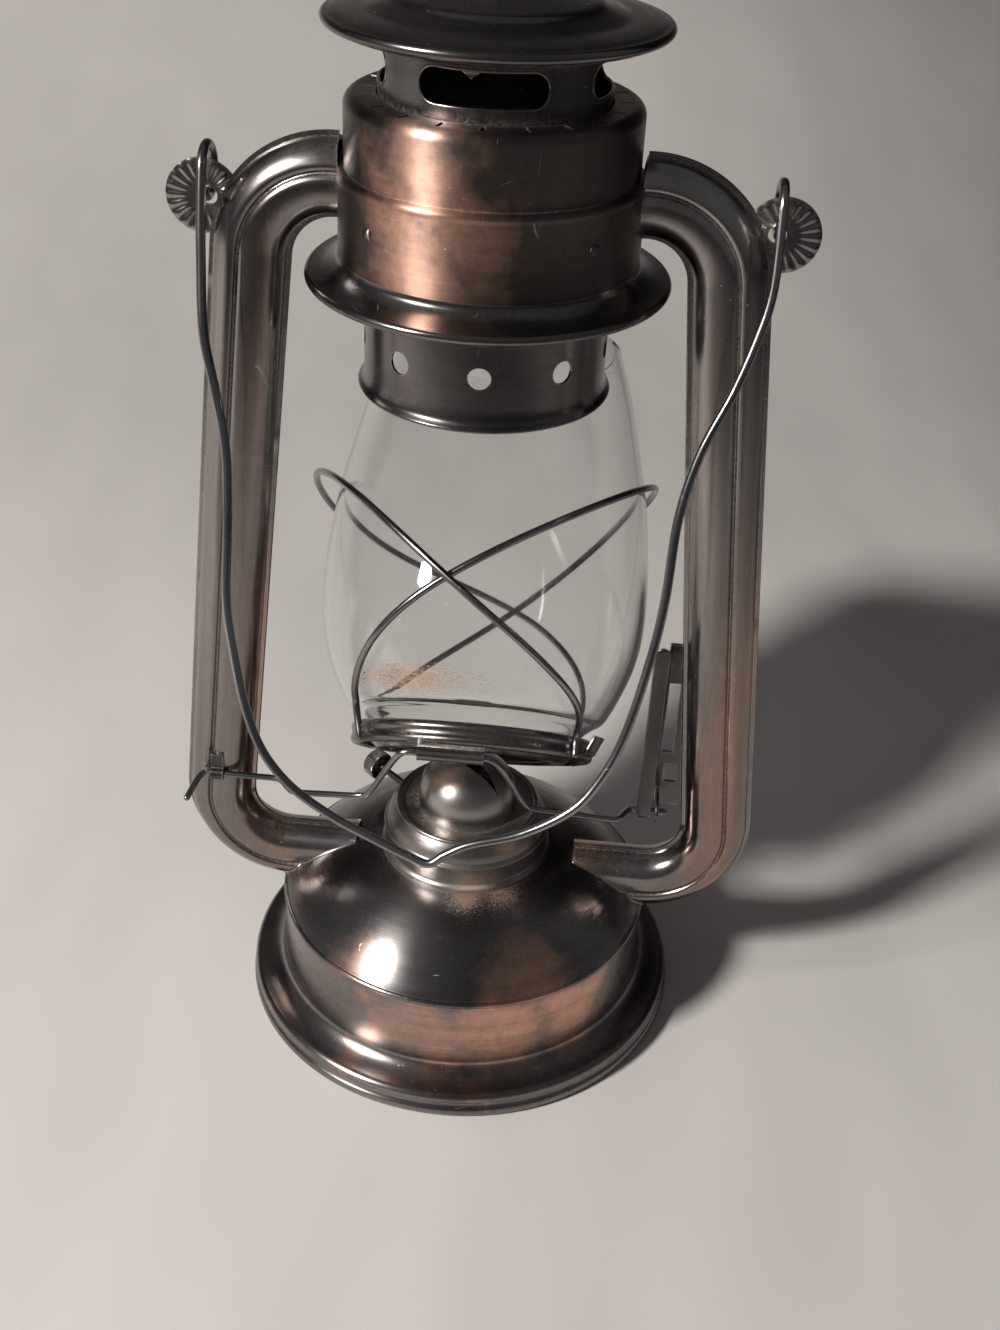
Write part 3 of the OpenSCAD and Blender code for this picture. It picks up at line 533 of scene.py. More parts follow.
class Effects:
    """The shader node groups that the finishes share, each built once."""

    def __init__(self) -> None:
        """Builds every group."""
        self.lathe_lines = self.make_lathe_lines()
        self.patina = self.make_patina()
        self.rub = self.make_rub()
        self.scuffs = self.make_scuffs()
        self.settled_dust = self.make_settled_dust()
        self.edge_wear = self.make_edge_wear()
        self.bloom = self.make_bloom()

    @staticmethod
    def make_lathe_lines() -> bpy.types.NodeTree:
        """Polishing lines: fine noise that is stretched along one direction of its vector."""
        tree, w, entry, leave = start_group(
            "lathe_lines",
            {"Vector": Sockets.VECTOR, "Stretch": Sockets.VECTOR, "Fineness": Sockets.NUMBER},
            {"Height": Sockets.NUMBER, "Tone": Sockets.NUMBER},
        )
        place = w.vector("MULTIPLY", entry["Vector"], entry["Stretch"])
        fine = w.noise(place, entry["Fineness"], detail=5, rough=0.7)
        broad = w.noise(place, w.math("MULTIPLY", entry["Fineness"], 0.16), detail=3)
        w.feed(leave.inputs["Height"], fine)
        w.feed(leave.inputs["Tone"], w.math("ADD", w.math("MULTIPLY", fine, 0.45), w.math("MULTIPLY", broad, 0.55)))
        return tree

    @staticmethod
    def make_patina() -> bpy.types.NodeTree:
        """Three tones of an aged plating: dark in the hollows of a noise, then grey, then bare copper."""
        tree, w, entry, leave = start_group(
            "patina",
            {
                "Vector": Sockets.VECTOR,
                "Patch Scale": Sockets.NUMBER,
                "Copper Share": Sockets.NUMBER,
                "Rub": Sockets.NUMBER,
                "Dark": Sockets.COLOUR,
                "Grey": Sockets.COLOUR,
                "Copper": Sockets.COLOUR,
            },
            {"Color": Sockets.COLOUR},
        )
        patches = w.noise(entry["Vector"], entry["Patch Scale"], detail=2, rough=0.4)
        mottle = w.noise(entry["Vector"], w.math("MULTIPLY", entry["Patch Scale"], 30), detail=4, rough=0.7)
        uneven = w.math("ADD", w.math("MULTIPLY", patches, 0.93), w.math("MULTIPLY", mottle, 0.07))
        uneven = w.math("ADD", uneven, w.math("MULTIPLY", entry["Rub"], 0.38))
        edge = w.math("SUBTRACT", 0.82, w.math("MULTIPLY", entry["Copper Share"], 0.62))
        copper = w.ranged(uneven, edge, w.math("ADD", edge, 0.32))
        tone = w.ranged(w.math("SUBTRACT", 1.0, patches), 0.3, 0.7)
        speck = w.ranged(mottle, 0.35, 0.7, 0.9, 1.1)
        plain = w.mixed(tone, entry["Dark"], entry["Grey"])
        tinted = w.mixed(w.math("MULTIPLY", copper, 0.9), plain, entry["Copper"])
        w.feed(leave.inputs["Color"], w.scaled(tinted, speck))
        return tree

    @staticmethod
    def make_rub() -> bpy.types.NodeTree:
        """A soft round patch where hands have rubbed the plating: 1 at its centre, 0 at its reach."""
        tree, w, entry, leave = start_group(
            "rub",
            {"Vector": Sockets.VECTOR, "Centre": Sockets.VECTOR, "Reach": Sockets.NUMBER},
            {"Mask": Sockets.NUMBER},
        )
        far = w.math("DIVIDE", w.vector("DISTANCE", entry["Vector"], entry["Centre"]), entry["Reach"])
        far = w.math("ADD", far, w.ranged(w.noise(entry["Vector"], 90.0, 3), 0.3, 0.7, -0.25, 0.25))
        smooth = w.node("ShaderNodeMapRange", {0: far, 1: 0.1, 2: 1.1, 3: 1.0, 4: 0.0}, clamp=True)
        smooth.interpolation_type = "SMOOTHSTEP"
        w.feed(leave.inputs["Mask"], smooth.outputs[0])
        return tree

    @staticmethod
    def make_scuffs() -> bpy.types.NodeTree:
        """Short thin scratches where stretched noises cross their middle, specks and greasy smears."""
        tree, w, entry, leave = start_group(
            "scuffs",
            {"Vector": Sockets.VECTOR, "Fineness": Sockets.NUMBER},
            {"Scratches": Sockets.NUMBER, "Specks": Sockets.NUMBER, "Smears": Sockets.NUMBER},
        )
        long_way = w.vector("MULTIPLY", entry["Vector"], (1.0, 7.0, 2.0))
        cross_way = w.vector("MULTIPLY", entry["Vector"], (6.0, 1.5, 0.8))
        bands = [
            w.ranged(w.math("ABSOLUTE", w.math("SUBTRACT", w.noise(way, entry["Fineness"], 0), 0.5)), 0.0, 0.004, 1, 0)
            for way in (long_way, cross_way)
        ]
        where = w.ranged(w.noise(entry["Vector"], w.math("MULTIPLY", entry["Fineness"], 6), 1), 0.62, 0.7)
        scratches = w.math("MULTIPLY", w.math("MAXIMUM", bands[0], bands[1]), where)
        dots = w.noise(entry["Vector"], w.math("MULTIPLY", entry["Fineness"], 26), 2, 0.6)
        patchy = w.ranged(w.noise(entry["Vector"], w.math("MULTIPLY", entry["Fineness"], 2.3), 2), 0.45, 0.7)
        smears = w.ranged(w.noise(entry["Vector"], w.math("MULTIPLY", entry["Fineness"], 0.9), 4, 0.6), 0.4, 0.75)
        w.feed(leave.inputs["Scratches"], scratches)
        w.feed(leave.inputs["Specks"], w.math("MULTIPLY", w.ranged(dots, 0.7, 0.76), patchy))
        w.feed(leave.inputs["Smears"], smears)
        return tree

    @staticmethod
    def make_settled_dust() -> bpy.types.NodeTree:
        """Dust on upward faces and in corners, broken up by noise."""
        tree, w, entry, leave = start_group(
            "settled_dust",
            {"Vector": Sockets.VECTOR, "Amount": Sockets.NUMBER, "Corner": Sockets.NUMBER, "Reach": Sockets.NUMBER},
            {"Mask": Sockets.NUMBER},
        )
        normal = w.node("ShaderNodeNewGeometry").outputs["Normal"]
        upward = w.ranged(w.vector("DOT_PRODUCT", normal, (0, 0, 1)), 0.25, 1.0)
        grit = w.ranged(w.noise(entry["Vector"], 900, 4, 0.7), 0.42, 0.72)
        drift = w.ranged(w.noise(entry["Vector"], 70, 3), 0.35, 0.7)
        lying = w.math("MULTIPLY", w.math("MULTIPLY", upward, drift), entry["Amount"])
        hollow = w.node("ShaderNodeAmbientOcclusion", {"Distance": entry["Reach"]}, samples=6).outputs["AO"]
        corner = w.math("MULTIPLY", w.ranged(hollow, 0.35, 0.8, 1, 0), entry["Corner"])
        mask = w.math("MULTIPLY", w.math("ADD", lying, corner), w.math("ADD", grit, 0.25), clamp=True)
        w.feed(leave.inputs["Mask"], mask)
        return tree

    @staticmethod
    def make_edge_wear() -> bpy.types.NodeTree:
        """Bright rubbed edges: where a bevelled normal leaves the true one, broken up by noise."""
        tree, w, entry, leave = start_group(
            "edge_wear",
            {"Vector": Sockets.VECTOR, "Radius": Sockets.NUMBER, "Amount": Sockets.NUMBER},
            {"Mask": Sockets.NUMBER},
        )
        rounded = w.node("ShaderNodeBevel", {"Radius": entry["Radius"]}, samples=4).outputs["Normal"]
        true = w.node("ShaderNodeNewGeometry").outputs["Normal"]
        turn = w.ranged(w.vector("DOT_PRODUCT", rounded, true), 0.99, 0.86)
        rub = w.ranged(w.noise(entry["Vector"], 260, 4, 0.65), 0.3, 0.62)
        w.feed(leave.inputs["Mask"], w.math("MULTIPLY", w.math("MULTIPLY", turn, rub), entry["Amount"], clamp=True))
        return tree

    @staticmethod
    def make_bloom() -> bpy.types.NodeTree:
        """A patch of rust or soot that fades out from a centre, broken up by noise."""
        tree, w, entry, leave = start_group(
            "bloom",
            {"Vector": Sockets.VECTOR, "Centre": Sockets.VECTOR, "Reach": Sockets.NUMBER, "Grit": Sockets.NUMBER},
            {"Mask": Sockets.NUMBER},
        )
        far = w.vector("DISTANCE", entry["Vector"], entry["Centre"])
        near = w.ranged(w.math("DIVIDE", far, entry["Reach"]), 0.2, 1.0, 1, 0)
        grain = w.noise(entry["Vector"], entry["Grit"], 5, 0.75)
        w.feed(leave.inputs["Mask"], w.ranged(w.math("ADD", grain, w.math("MULTIPLY", near, 0.26)), 0.68, 0.84))
        return tree


# Finishes

Colour = tuple[float, float, float]


class Polish(Enum):
    """How the polishing lines of a sheet run."""

    AROUND = "around"
    UPRIGHT = "upright"
    LENGTHWISE = "lengthwise"


@dataclass(frozen=True)
class Bloom:
    """A patch of rust or soot: its colour, centre and reach in millimetres."""

    colour: Colour
    centre: tuple[float, float, float]
    reach: float
    grit: float = 700.0


@dataclass(frozen=True)
class Rub:
    """A place where the plating is rubbed down to the copper: its centre and reach in millimetres."""

    centre: tuple[float, float, float]
    reach: float


@dataclass(frozen=True)
class MetalFinish:
    """An aged plated sheet or wire.

    The plating shows three tones, over it lie polishing lines, scratches, rubbed edges and dust. The
    spread is how far the lines that run round a sheet draw out a highlight across themselves.
    """

    name: str
    slot: str
    dark: Colour
    grey: Colour
    copper: Colour
    copper_share: float
    polish: Polish
    patch_scale: float = 22.0
    patch_stretch: tuple[float, float, float] = (1.0, 1.0, 1.0)
    spread: float = 0.0
    roughness: tuple[float, float] = (0.2, 0.38)
    line_depth: float = 0.05
    dent_depth: float = 0.0
    wear: float = 0.7
    wear_colour: Colour = (0.72, 0.66, 0.62)
    dust: float = 0.25
    corner_dust: float = 0.5
    dust_colour: Colour = (0.30, 0.255, 0.215)
    rubs: tuple[Rub, ...] = ()
    blooms: tuple[Bloom, ...] = ()

    def line_vector(self, w: Wiring, place: bpy.types.NodeSocket) -> tuple[bpy.types.NodeSocket, tuple]:
        """Where a polishing line is looked up, and how it is stretched.

        Args:
            w: The material's wiring.
            place: Object coordinates.

        Returns:
            The vector and its stretch.
        """
        if self.polish is Polish.LENGTHWISE:
            run = w.node("ShaderNodeUVMap", uv_map="run").outputs[0]
            return run, (4.0, 160.0, 1.0)
        flat = w.vector("MULTIPLY", place, (1, 1, 0))
        if self.polish is Polish.UPRIGHT:
            spoke = w.vector("NORMALIZE", flat)
            height = w.vector("MULTIPLY", place, (0, 0, 1))
            return w.vector("ADD", w.scaled(spoke, 0.04), height), (160.0, 160.0, 5.0)
        parts = w.node("ShaderNodeSeparateXYZ", {0: place}).outputs
        ring = w.node("ShaderNodeCombineXYZ", {0: w.vector("LENGTH", flat), 1: parts[2]}).outputs[0]
        drift = w.scaled(w.vector("NORMALIZE", flat), 0.0006)
        return w.vector("ADD", ring, drift), (160.0, 160.0, 160.0)

    def build(self, effects: Effects) -> bpy.types.Material:
        """Builds the material.

        Args:
            effects: The shared node groups.

        Returns:
            The material.
        """
        material = bpy.data.materials.new(self.name)
        material.use_nodes = True
        w = Wiring(material.node_tree)
        shader = material.node_tree.nodes["Principled BSDF"]
        place = w.node("ShaderNodeTexCoord").outputs["Object"]

        rubbed = 0.0
        for rub in self.rubs:
            centre = tuple(MM * value for value in rub.centre)
            spot = w.group(effects.rub, Vector=place, Centre=centre, Reach=MM * rub.reach).outputs["Mask"]
            rubbed = w.math("MAXIMUM", rubbed, spot)
        plating = w.group(
            effects.patina,
            Vector=w.vector("MULTIPLY", place, self.patch_stretch),
            Patch_Scale=self.patch_scale,
            Copper_Share=self.copper_share,
            Rub=rubbed,
            Dark=self.dark,
            Grey=self.grey,
            Copper=self.copper,
        ).outputs
        line_place, stretch = self.line_vector(w, place)
        lines = w.group(effects.lathe_lines, Vector=line_place, Stretch=stretch, Fineness=14.0).outputs
        scuffs = w.group(effects.scuffs, Vector=place, Fineness=24.0).outputs
        worn = w.group(effects.edge_wear, Vector=place, Radius=0.0006, Amount=self.wear).outputs["Mask"]
        dusty = w.group(
            effects.settled_dust, Vector=place, Amount=self.dust, Corner=self.corner_dust, Reach=0.006
        ).outputs["Mask"]

        lined = w.mixed(w.ranged(lines["Tone"], 0.35, 0.68, 0.0, 0.45), plating["Color"], self.dark)
        colour = w.mixed(w.math("MULTIPLY", scuffs["Scratches"], 0.5), lined, self.wear_colour)
        colour = w.mixed(worn, colour, self.wear_colour)
        colour = w.mixed(dusty, colour, self.dust_colour)
        cover = w.math("MAXIMUM", dusty, w.math("MULTIPLY", scuffs["Specks"], 0.5))
        for bloom in self.blooms:
            centre = tuple(MM * value for value in bloom.centre)
            mask = w.group(
                effects.bloom, Vector=place, Centre=centre, Reach=MM * bloom.reach, Grit=bloom.grit
            ).outputs["Mask"]
            colour = w.mixed(w.math("MULTIPLY", mask, 0.8), colour, bloom.colour)
            cover = w.math("MAXIMUM", cover, mask)

        low, high = self.roughness
        rough = w.ranged(lines["Tone"], 0.32, 0.7, low, high)
        rough = w.math("ADD", rough, w.math("MULTIPLY", scuffs["Smears"], 0.10))
        rough = w.math("ADD", rough, w.math("MULTIPLY", cover, 0.4), clamp=True)
        bump_height = w.math("MULTIPLY", lines["Height"], self.line_depth)
        bump_height = w.math("SUBTRACT", bump_height, w.math("MULTIPLY", scuffs["Scratches"], 0.04))
        bump_height = w.math("ADD", bump_height, w.math("MULTIPLY", cover, 0.08))
        if self.dent_depth:
            dents = w.noise(place, 55.0, 2)
            bump_height = w.math("ADD", bump_height, w.math("MULTIPLY", dents, self.dent_depth))
        bump = w.node("ShaderNodeBump", {"Height": bump_height, "Strength": 0.6, "Distance": 0.001})

        w.feed(shader.inputs["Base Color"], colour)
        w.feed(shader.inputs["Metallic"], w.math("SUBTRACT", 1.0, w.math("MULTIPLY", cover, 0.85)))
        w.feed(shader.inputs["Roughness"], rough)
        w.feed(shader.inputs["Normal"], bump.outputs[0])
        shader.inputs["Anisotropic"].default_value = self.spread
        shader.inputs["Anisotropic Rotation"].default_value = 0.25
        return material


@dataclass(frozen=True)
class GlassFinish:
    """Blown clear glass with a little grease and dust on it."""

    name: str
    slot: str
    tint: Colour = (0.975, 0.985, 0.98)

    def build(self, effects: Effects) -> bpy.types.Material:
        """Builds the material from its shared scuffs."""
        material = bpy.data.materials.new(self.name)
        material.use_nodes = True
        w = Wiring(material.node_tree)
        shader = material.node_tree.nodes["Principled BSDF"]
        place = w.node("ShaderNodeTexCoord").outputs["Object"]
        scuffs = w.group(effects.scuffs, Vector=place, Fineness=16.0).outputs
        wavy = w.noise(place, 28.0, 1)
        rough = w.ranged(scuffs["Smears"], 0.0, 1.0, 0.02, 0.07)
        rough = w.math("ADD", rough, w.math("MULTIPLY", scuffs["Specks"], 0.3), clamp=True)
        bump = w.node("ShaderNodeBump", {"Height": wavy, "Strength": 0.04, "Distance": 0.0006})
        w.feed(shader.inputs["Base Color"], self.tint)
        w.feed(shader.inputs["Roughness"], rough)
        w.feed(shader.inputs["Normal"], bump.outputs[0])
        shader.inputs["IOR"].default_value = 1.47
        shader.inputs["Transmission Weight"].default_value = 1.0
        return material


@dataclass(frozen=True)
class FilmFinish:
    """A thin film of rust dust on the glass, seen only in its grains, and squeezed along an axis."""

    name: str
    colour: Colour
    centre: tuple[float, float, float]
    reach: float
    axis: tuple[float, float, float]
    squeeze: float = 4.6
    slot: str = ""

    def build(self, effects: Effects) -> bpy.types.Material:
        """Builds the material from the shared bloom."""
        material = bpy.data.materials.new(self.name)
        material.use_nodes = True
        w = Wiring(material.node_tree)
        shader = material.node_tree.nodes["Principled BSDF"]
        place = w.node("ShaderNodeTexCoord").outputs["Object"]
        axis, middle = np.array(self.axis), MM * np.array(self.centre)
        centre = middle + (self.squeeze - 1) * (middle @ axis) * axis
        along = w.math("MULTIPLY", w.vector("DOT_PRODUCT", place, self.axis), self.squeeze - 1)
        flat = w.vector("ADD", place, w.scaled(self.axis, along))
        bloom = w.group(effects.bloom, Vector=flat, Centre=tuple(centre), Reach=MM * self.reach, Grit=620.0)
        mask = bloom.outputs["Mask"]
        tone = w.noise(place, 300.0, 3)
        dark = tuple(0.6 * value for value in self.colour)
        w.feed(shader.inputs["Base Color"], w.mixed(tone, dark, self.colour))
        w.feed(shader.inputs["Alpha"], w.math("MULTIPLY", mask, 0.8))
        shader.inputs["Roughness"].default_value = 0.9
        return material


@dataclass(frozen=True)
class WickFinish:
    """Woven cotton tape, charred at its upper end."""

    name: str
    slot: str
    cotton: Colour = (0.62, 0.56, 0.44)
    char: Colour = (0.035, 0.03, 0.028)
    char_from: float = 74.0

    def build(self, effects: Effects) -> bpy.types.Material:
        """Builds the material: crossed threads for the weave and a height for the char."""
        material = bpy.data.materials.new(self.name)
        material.use_nodes = True
        w = Wiring(material.node_tree)
        shader = material.node_tree.nodes["Principled BSDF"]
        place = w.node("ShaderNodeTexCoord").outputs["Object"]
        height = w.node("ShaderNodeSeparateXYZ", {0: place}).outputs[2]
        warp = w.node("ShaderNodeTexWave", {"Vector": place, "Scale": 260.0}, bands_direction="X").outputs[1]
        weft = w.node("ShaderNodeTexWave", {"Vector": place, "Scale": 260.0}, bands_direction="Z").outputs[1]
        threads = w.math("MULTIPLY", warp, weft)
        ragged = w.math("ADD", height, w.math("MULTIPLY", w.noise(place, 600.0, 3), 0.003))
        char = w.ranged(ragged, MM * self.char_from, MM * (self.char_from + 3))
        cloth = w.mixed(threads, tuple(0.6 * value for value in self.cotton), self.cotton)
        bump = w.node("ShaderNodeBump", {"Height": threads, "Strength": 0.7, "Distance": 0.0003})
        w.feed(shader.inputs["Base Color"], w.mixed(char, cloth, self.char))
        w.feed(shader.inputs["Normal"], bump.outputs[0])
        shader.inputs["Roughness"].default_value = 0.9
        return material


@dataclass(frozen=True)
class RubberFinish:
    """A black gasket with a fine grain."""

    name: str
    slot: str
    colour: Colour = (0.03, 0.028, 0.026)

    def build(self, effects: Effects) -> bpy.types.Material:
        """Builds the material from its grain and the shared scuffs."""
        material = bpy.data.materials.new(self.name)
        material.use_nodes = True
        w = Wiring(material.node_tree)
        shader = material.node_tree.nodes["Principled BSDF"]
        place = w.node("ShaderNodeTexCoord").outputs["Object"]
        scuffs = w.group(effects.scuffs, Vector=place, Fineness=40.0).outputs
        grain = w.noise(place, 2500.0, 3)
        bump = w.node("ShaderNodeBump", {"Height": grain, "Strength": 0.4, "Distance": 0.0002})
        pale = tuple(3 * value for value in self.colour)
        w.feed(shader.inputs["Base Color"], w.mixed(scuffs["Smears"], self.colour, pale))
        w.feed(shader.inputs["Roughness"], w.ranged(grain, 0.3, 0.7, 0.65, 0.85))
        w.feed(shader.inputs["Normal"], bump.outputs[0])
        return material


Finish = MetalFinish | GlassFinish | FilmFinish | WickFinish | RubberFinish

DARK_PLATING = (0.115, 0.105, 0.104)
GREY_PLATING = (0.36, 0.335, 0.325)
BARE_COPPER = (0.80, 0.45, 0.33)
RUST_DUST = (0.38, 0.19, 0.10)

TANK = MetalFinish(
    "tank_plating", "tank_metal", DARK_PLATING, GREY_PLATING, BARE_COPPER, 0.2, Polish.AROUND,
    spread=0.75, roughness=(0.19, 0.28), dust=0.05, dent_depth=0.08, line_depth=0.03,
    rubs=(Rub((26, -50, 45), 28), Rub((-26, -47, 44), 17)),
    blooms=(Bloom(RUST_DUST, (3, -29, 54.2), 12, 2600.0), Bloom(RUST_DUST, (14, -26, 54.2), 13, 2600.0)),
)
BAND = MetalFinish(
    "skirt_plating", "tank_metal", DARK_PLATING, (0.40, 0.365, 0.35), BARE_COPPER, 0.26, Polish.AROUND,
    patch_scale=14.0, spread=0.6, roughness=(0.17, 0.27), dust=0.05, dent_depth=0.06, line_depth=0.03,
    rubs=(
        Rub((-10, -61, 27), 32), Rub((16, -60, 27), 30), Rub((40, -48, 27), 22), Rub((-54, -36, 10), 12),
        Rub((-30, -60, 9), 12),
    ),
)
TUBES = MetalFinish(
    "tube_plating", "tube_metal", (0.16, 0.145, 0.14), (0.44, 0.41, 0.395), (0.76, 0.46, 0.35), 0.42,
    Polish.LENGTHWISE, patch_scale=40.0, patch_stretch=(1.0, 1.0, 0.12), roughness=(0.13, 0.24), dust=0.2,
    dent_depth=0.08, line_depth=0.03,
)
CHAMBER = MetalFinish(
    "chamber_plating", "chamber_metal", (0.075, 0.064, 0.061), (0.21, 0.165, 0.15), (0.84, 0.48, 0.355), 0.24,
    Polish.AROUND, patch_scale=14.0, spread=0.85, roughness=(0.31, 0.39), line_depth=0.05, dust=0.04,
    rubs=(Rub((-16, -37, 286), 27), Rub((-15, -38, 262), 30), Rub((0, -40, 268), 22)),
)
HOOD = MetalFinish(
    "hood_plating", "chamber_metal", DARK_PLATING, (0.30, 0.285, 0.28), BARE_COPPER, 0.2, Polish.AROUND,
    spread=0.4, roughness=(0.15, 0.25), dent_depth=0.05, line_depth=0.03, dust=0.04,
    rubs=(Rub((-32, -16, 315), 14), Rub((4, -8, 320), 9)),
)
BURNER = MetalFinish(
    "burner_plating", "burner_metal", (0.14, 0.127, 0.121), (0.33, 0.30, 0.287), (0.74, 0.45, 0.34), 0.24,
    Polish.AROUND, spread=0.4, roughness=(0.26, 0.38), dust=0.3, corner_dust=0.8,
    dust_colour=(0.30, 0.24, 0.19),
    blooms=(Bloom(RUST_DUST, (6, -28.5, 56), 15, 2600.0), Bloom(RUST_DUST, (16, -20, 69), 10, 2400.0)),
)
CONE = MetalFinish(
    "cone_plating", "cone_metal", (0.26, 0.24, 0.23), (0.50, 0.465, 0.445), (0.82, 0.53, 0.41), 0.3,
    Polish.AROUND, patch_scale=40.0, spread=0.4, roughness=(0.26, 0.36), dust=0.1,
    rubs=(Rub((-8, -6, 84), 9),),
)
WIRE = MetalFinish(
    "drawn_wire", "wire_metal", (0.17, 0.165, 0.168), (0.40, 0.39, 0.39), (0.58, 0.46, 0.41), 0.25,
    Polish.LENGTHWISE, patch_scale=30.0, roughness=(0.15, 0.25), wear=0.0, dust=0.1, corner_dust=0.1,
)
LEVER = MetalFinish(
    "stamped_steel", "lever_metal", (0.055, 0.052, 0.052), (0.15, 0.143, 0.14), (0.45, 0.34, 0.29), 0.2,
    Polish.UPRIGHT, roughness=(0.2, 0.34), wear=0.9, dust=0.1,
)
PLATE = MetalFinish(
    "plate_plating", "plate_metal", (0.13, 0.118, 0.112), (0.33, 0.30, 0.285), (0.62, 0.42, 0.33), 0.3,
    Polish.AROUND, patch_scale=35.0, roughness=(0.16, 0.3), dust=0.15, corner_dust=0.6,
)
RUST_ON_GLASS = FilmFinish("rust_film", (0.50, 0.31, 0.22), (-18.5, -12.0, 125.0), 38, (0.0, 0.643, 0.766))
GLASS = GlassFinish("clear_glass", "clear_glass")
WICK = WickFinish("wick_cotton", "wick_cloth")
GASKET = RubberFinish("gasket_rubber", "gasket_rubber")


class Workshop:
    """Dresses pieces in their finishes and puts them on their bodies."""

    def __init__(self, frame: dict) -> None:
        """Keeps the frame's CAD nodes and builds the shared effects."""
        self.nodes = frame["nodes"]
        self.effects = Effects()
        self.materials: dict[str, bpy.types.Material] = {}

    def material(self, finish: Finish) -> bpy.types.Material:
        """The finish's material, built the first time that it is asked for."""
        if finish.name not in self.materials:
            self.materials[finish.name] = finish.build(self.effects)
        return self.materials[finish.name]

    def place(self, obj: bpy.types.Object, body: str, finish: Finish, *replaced: str) -> None:
        """Finishes a new piece and hands it to its body.

        Args:
            obj: The piece.
            body: The CAD body that it rides on.
            finish: Its finish.
            replaced: The CAD nodes that it stands for.
        """
        obj.data.materials.clear()
        obj.data.materials.append(self.material(finish))
        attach(obj, body)
        if replaced:
            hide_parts(*replaced)
        log.info("%s: %d faces, on %s", obj.name, len(obj.data.polygons), body)

    def soften(self, node: str, body: str, finish: Finish, width: float = 0.15) -> bpy.types.Object:
        """Puts a softened copy in a CAD node's place and returns it."""
        obj = softened_copy(node + "_piece", self.nodes[node], width)
        self.place(obj, body, finish, node)
        return obj


# Fount


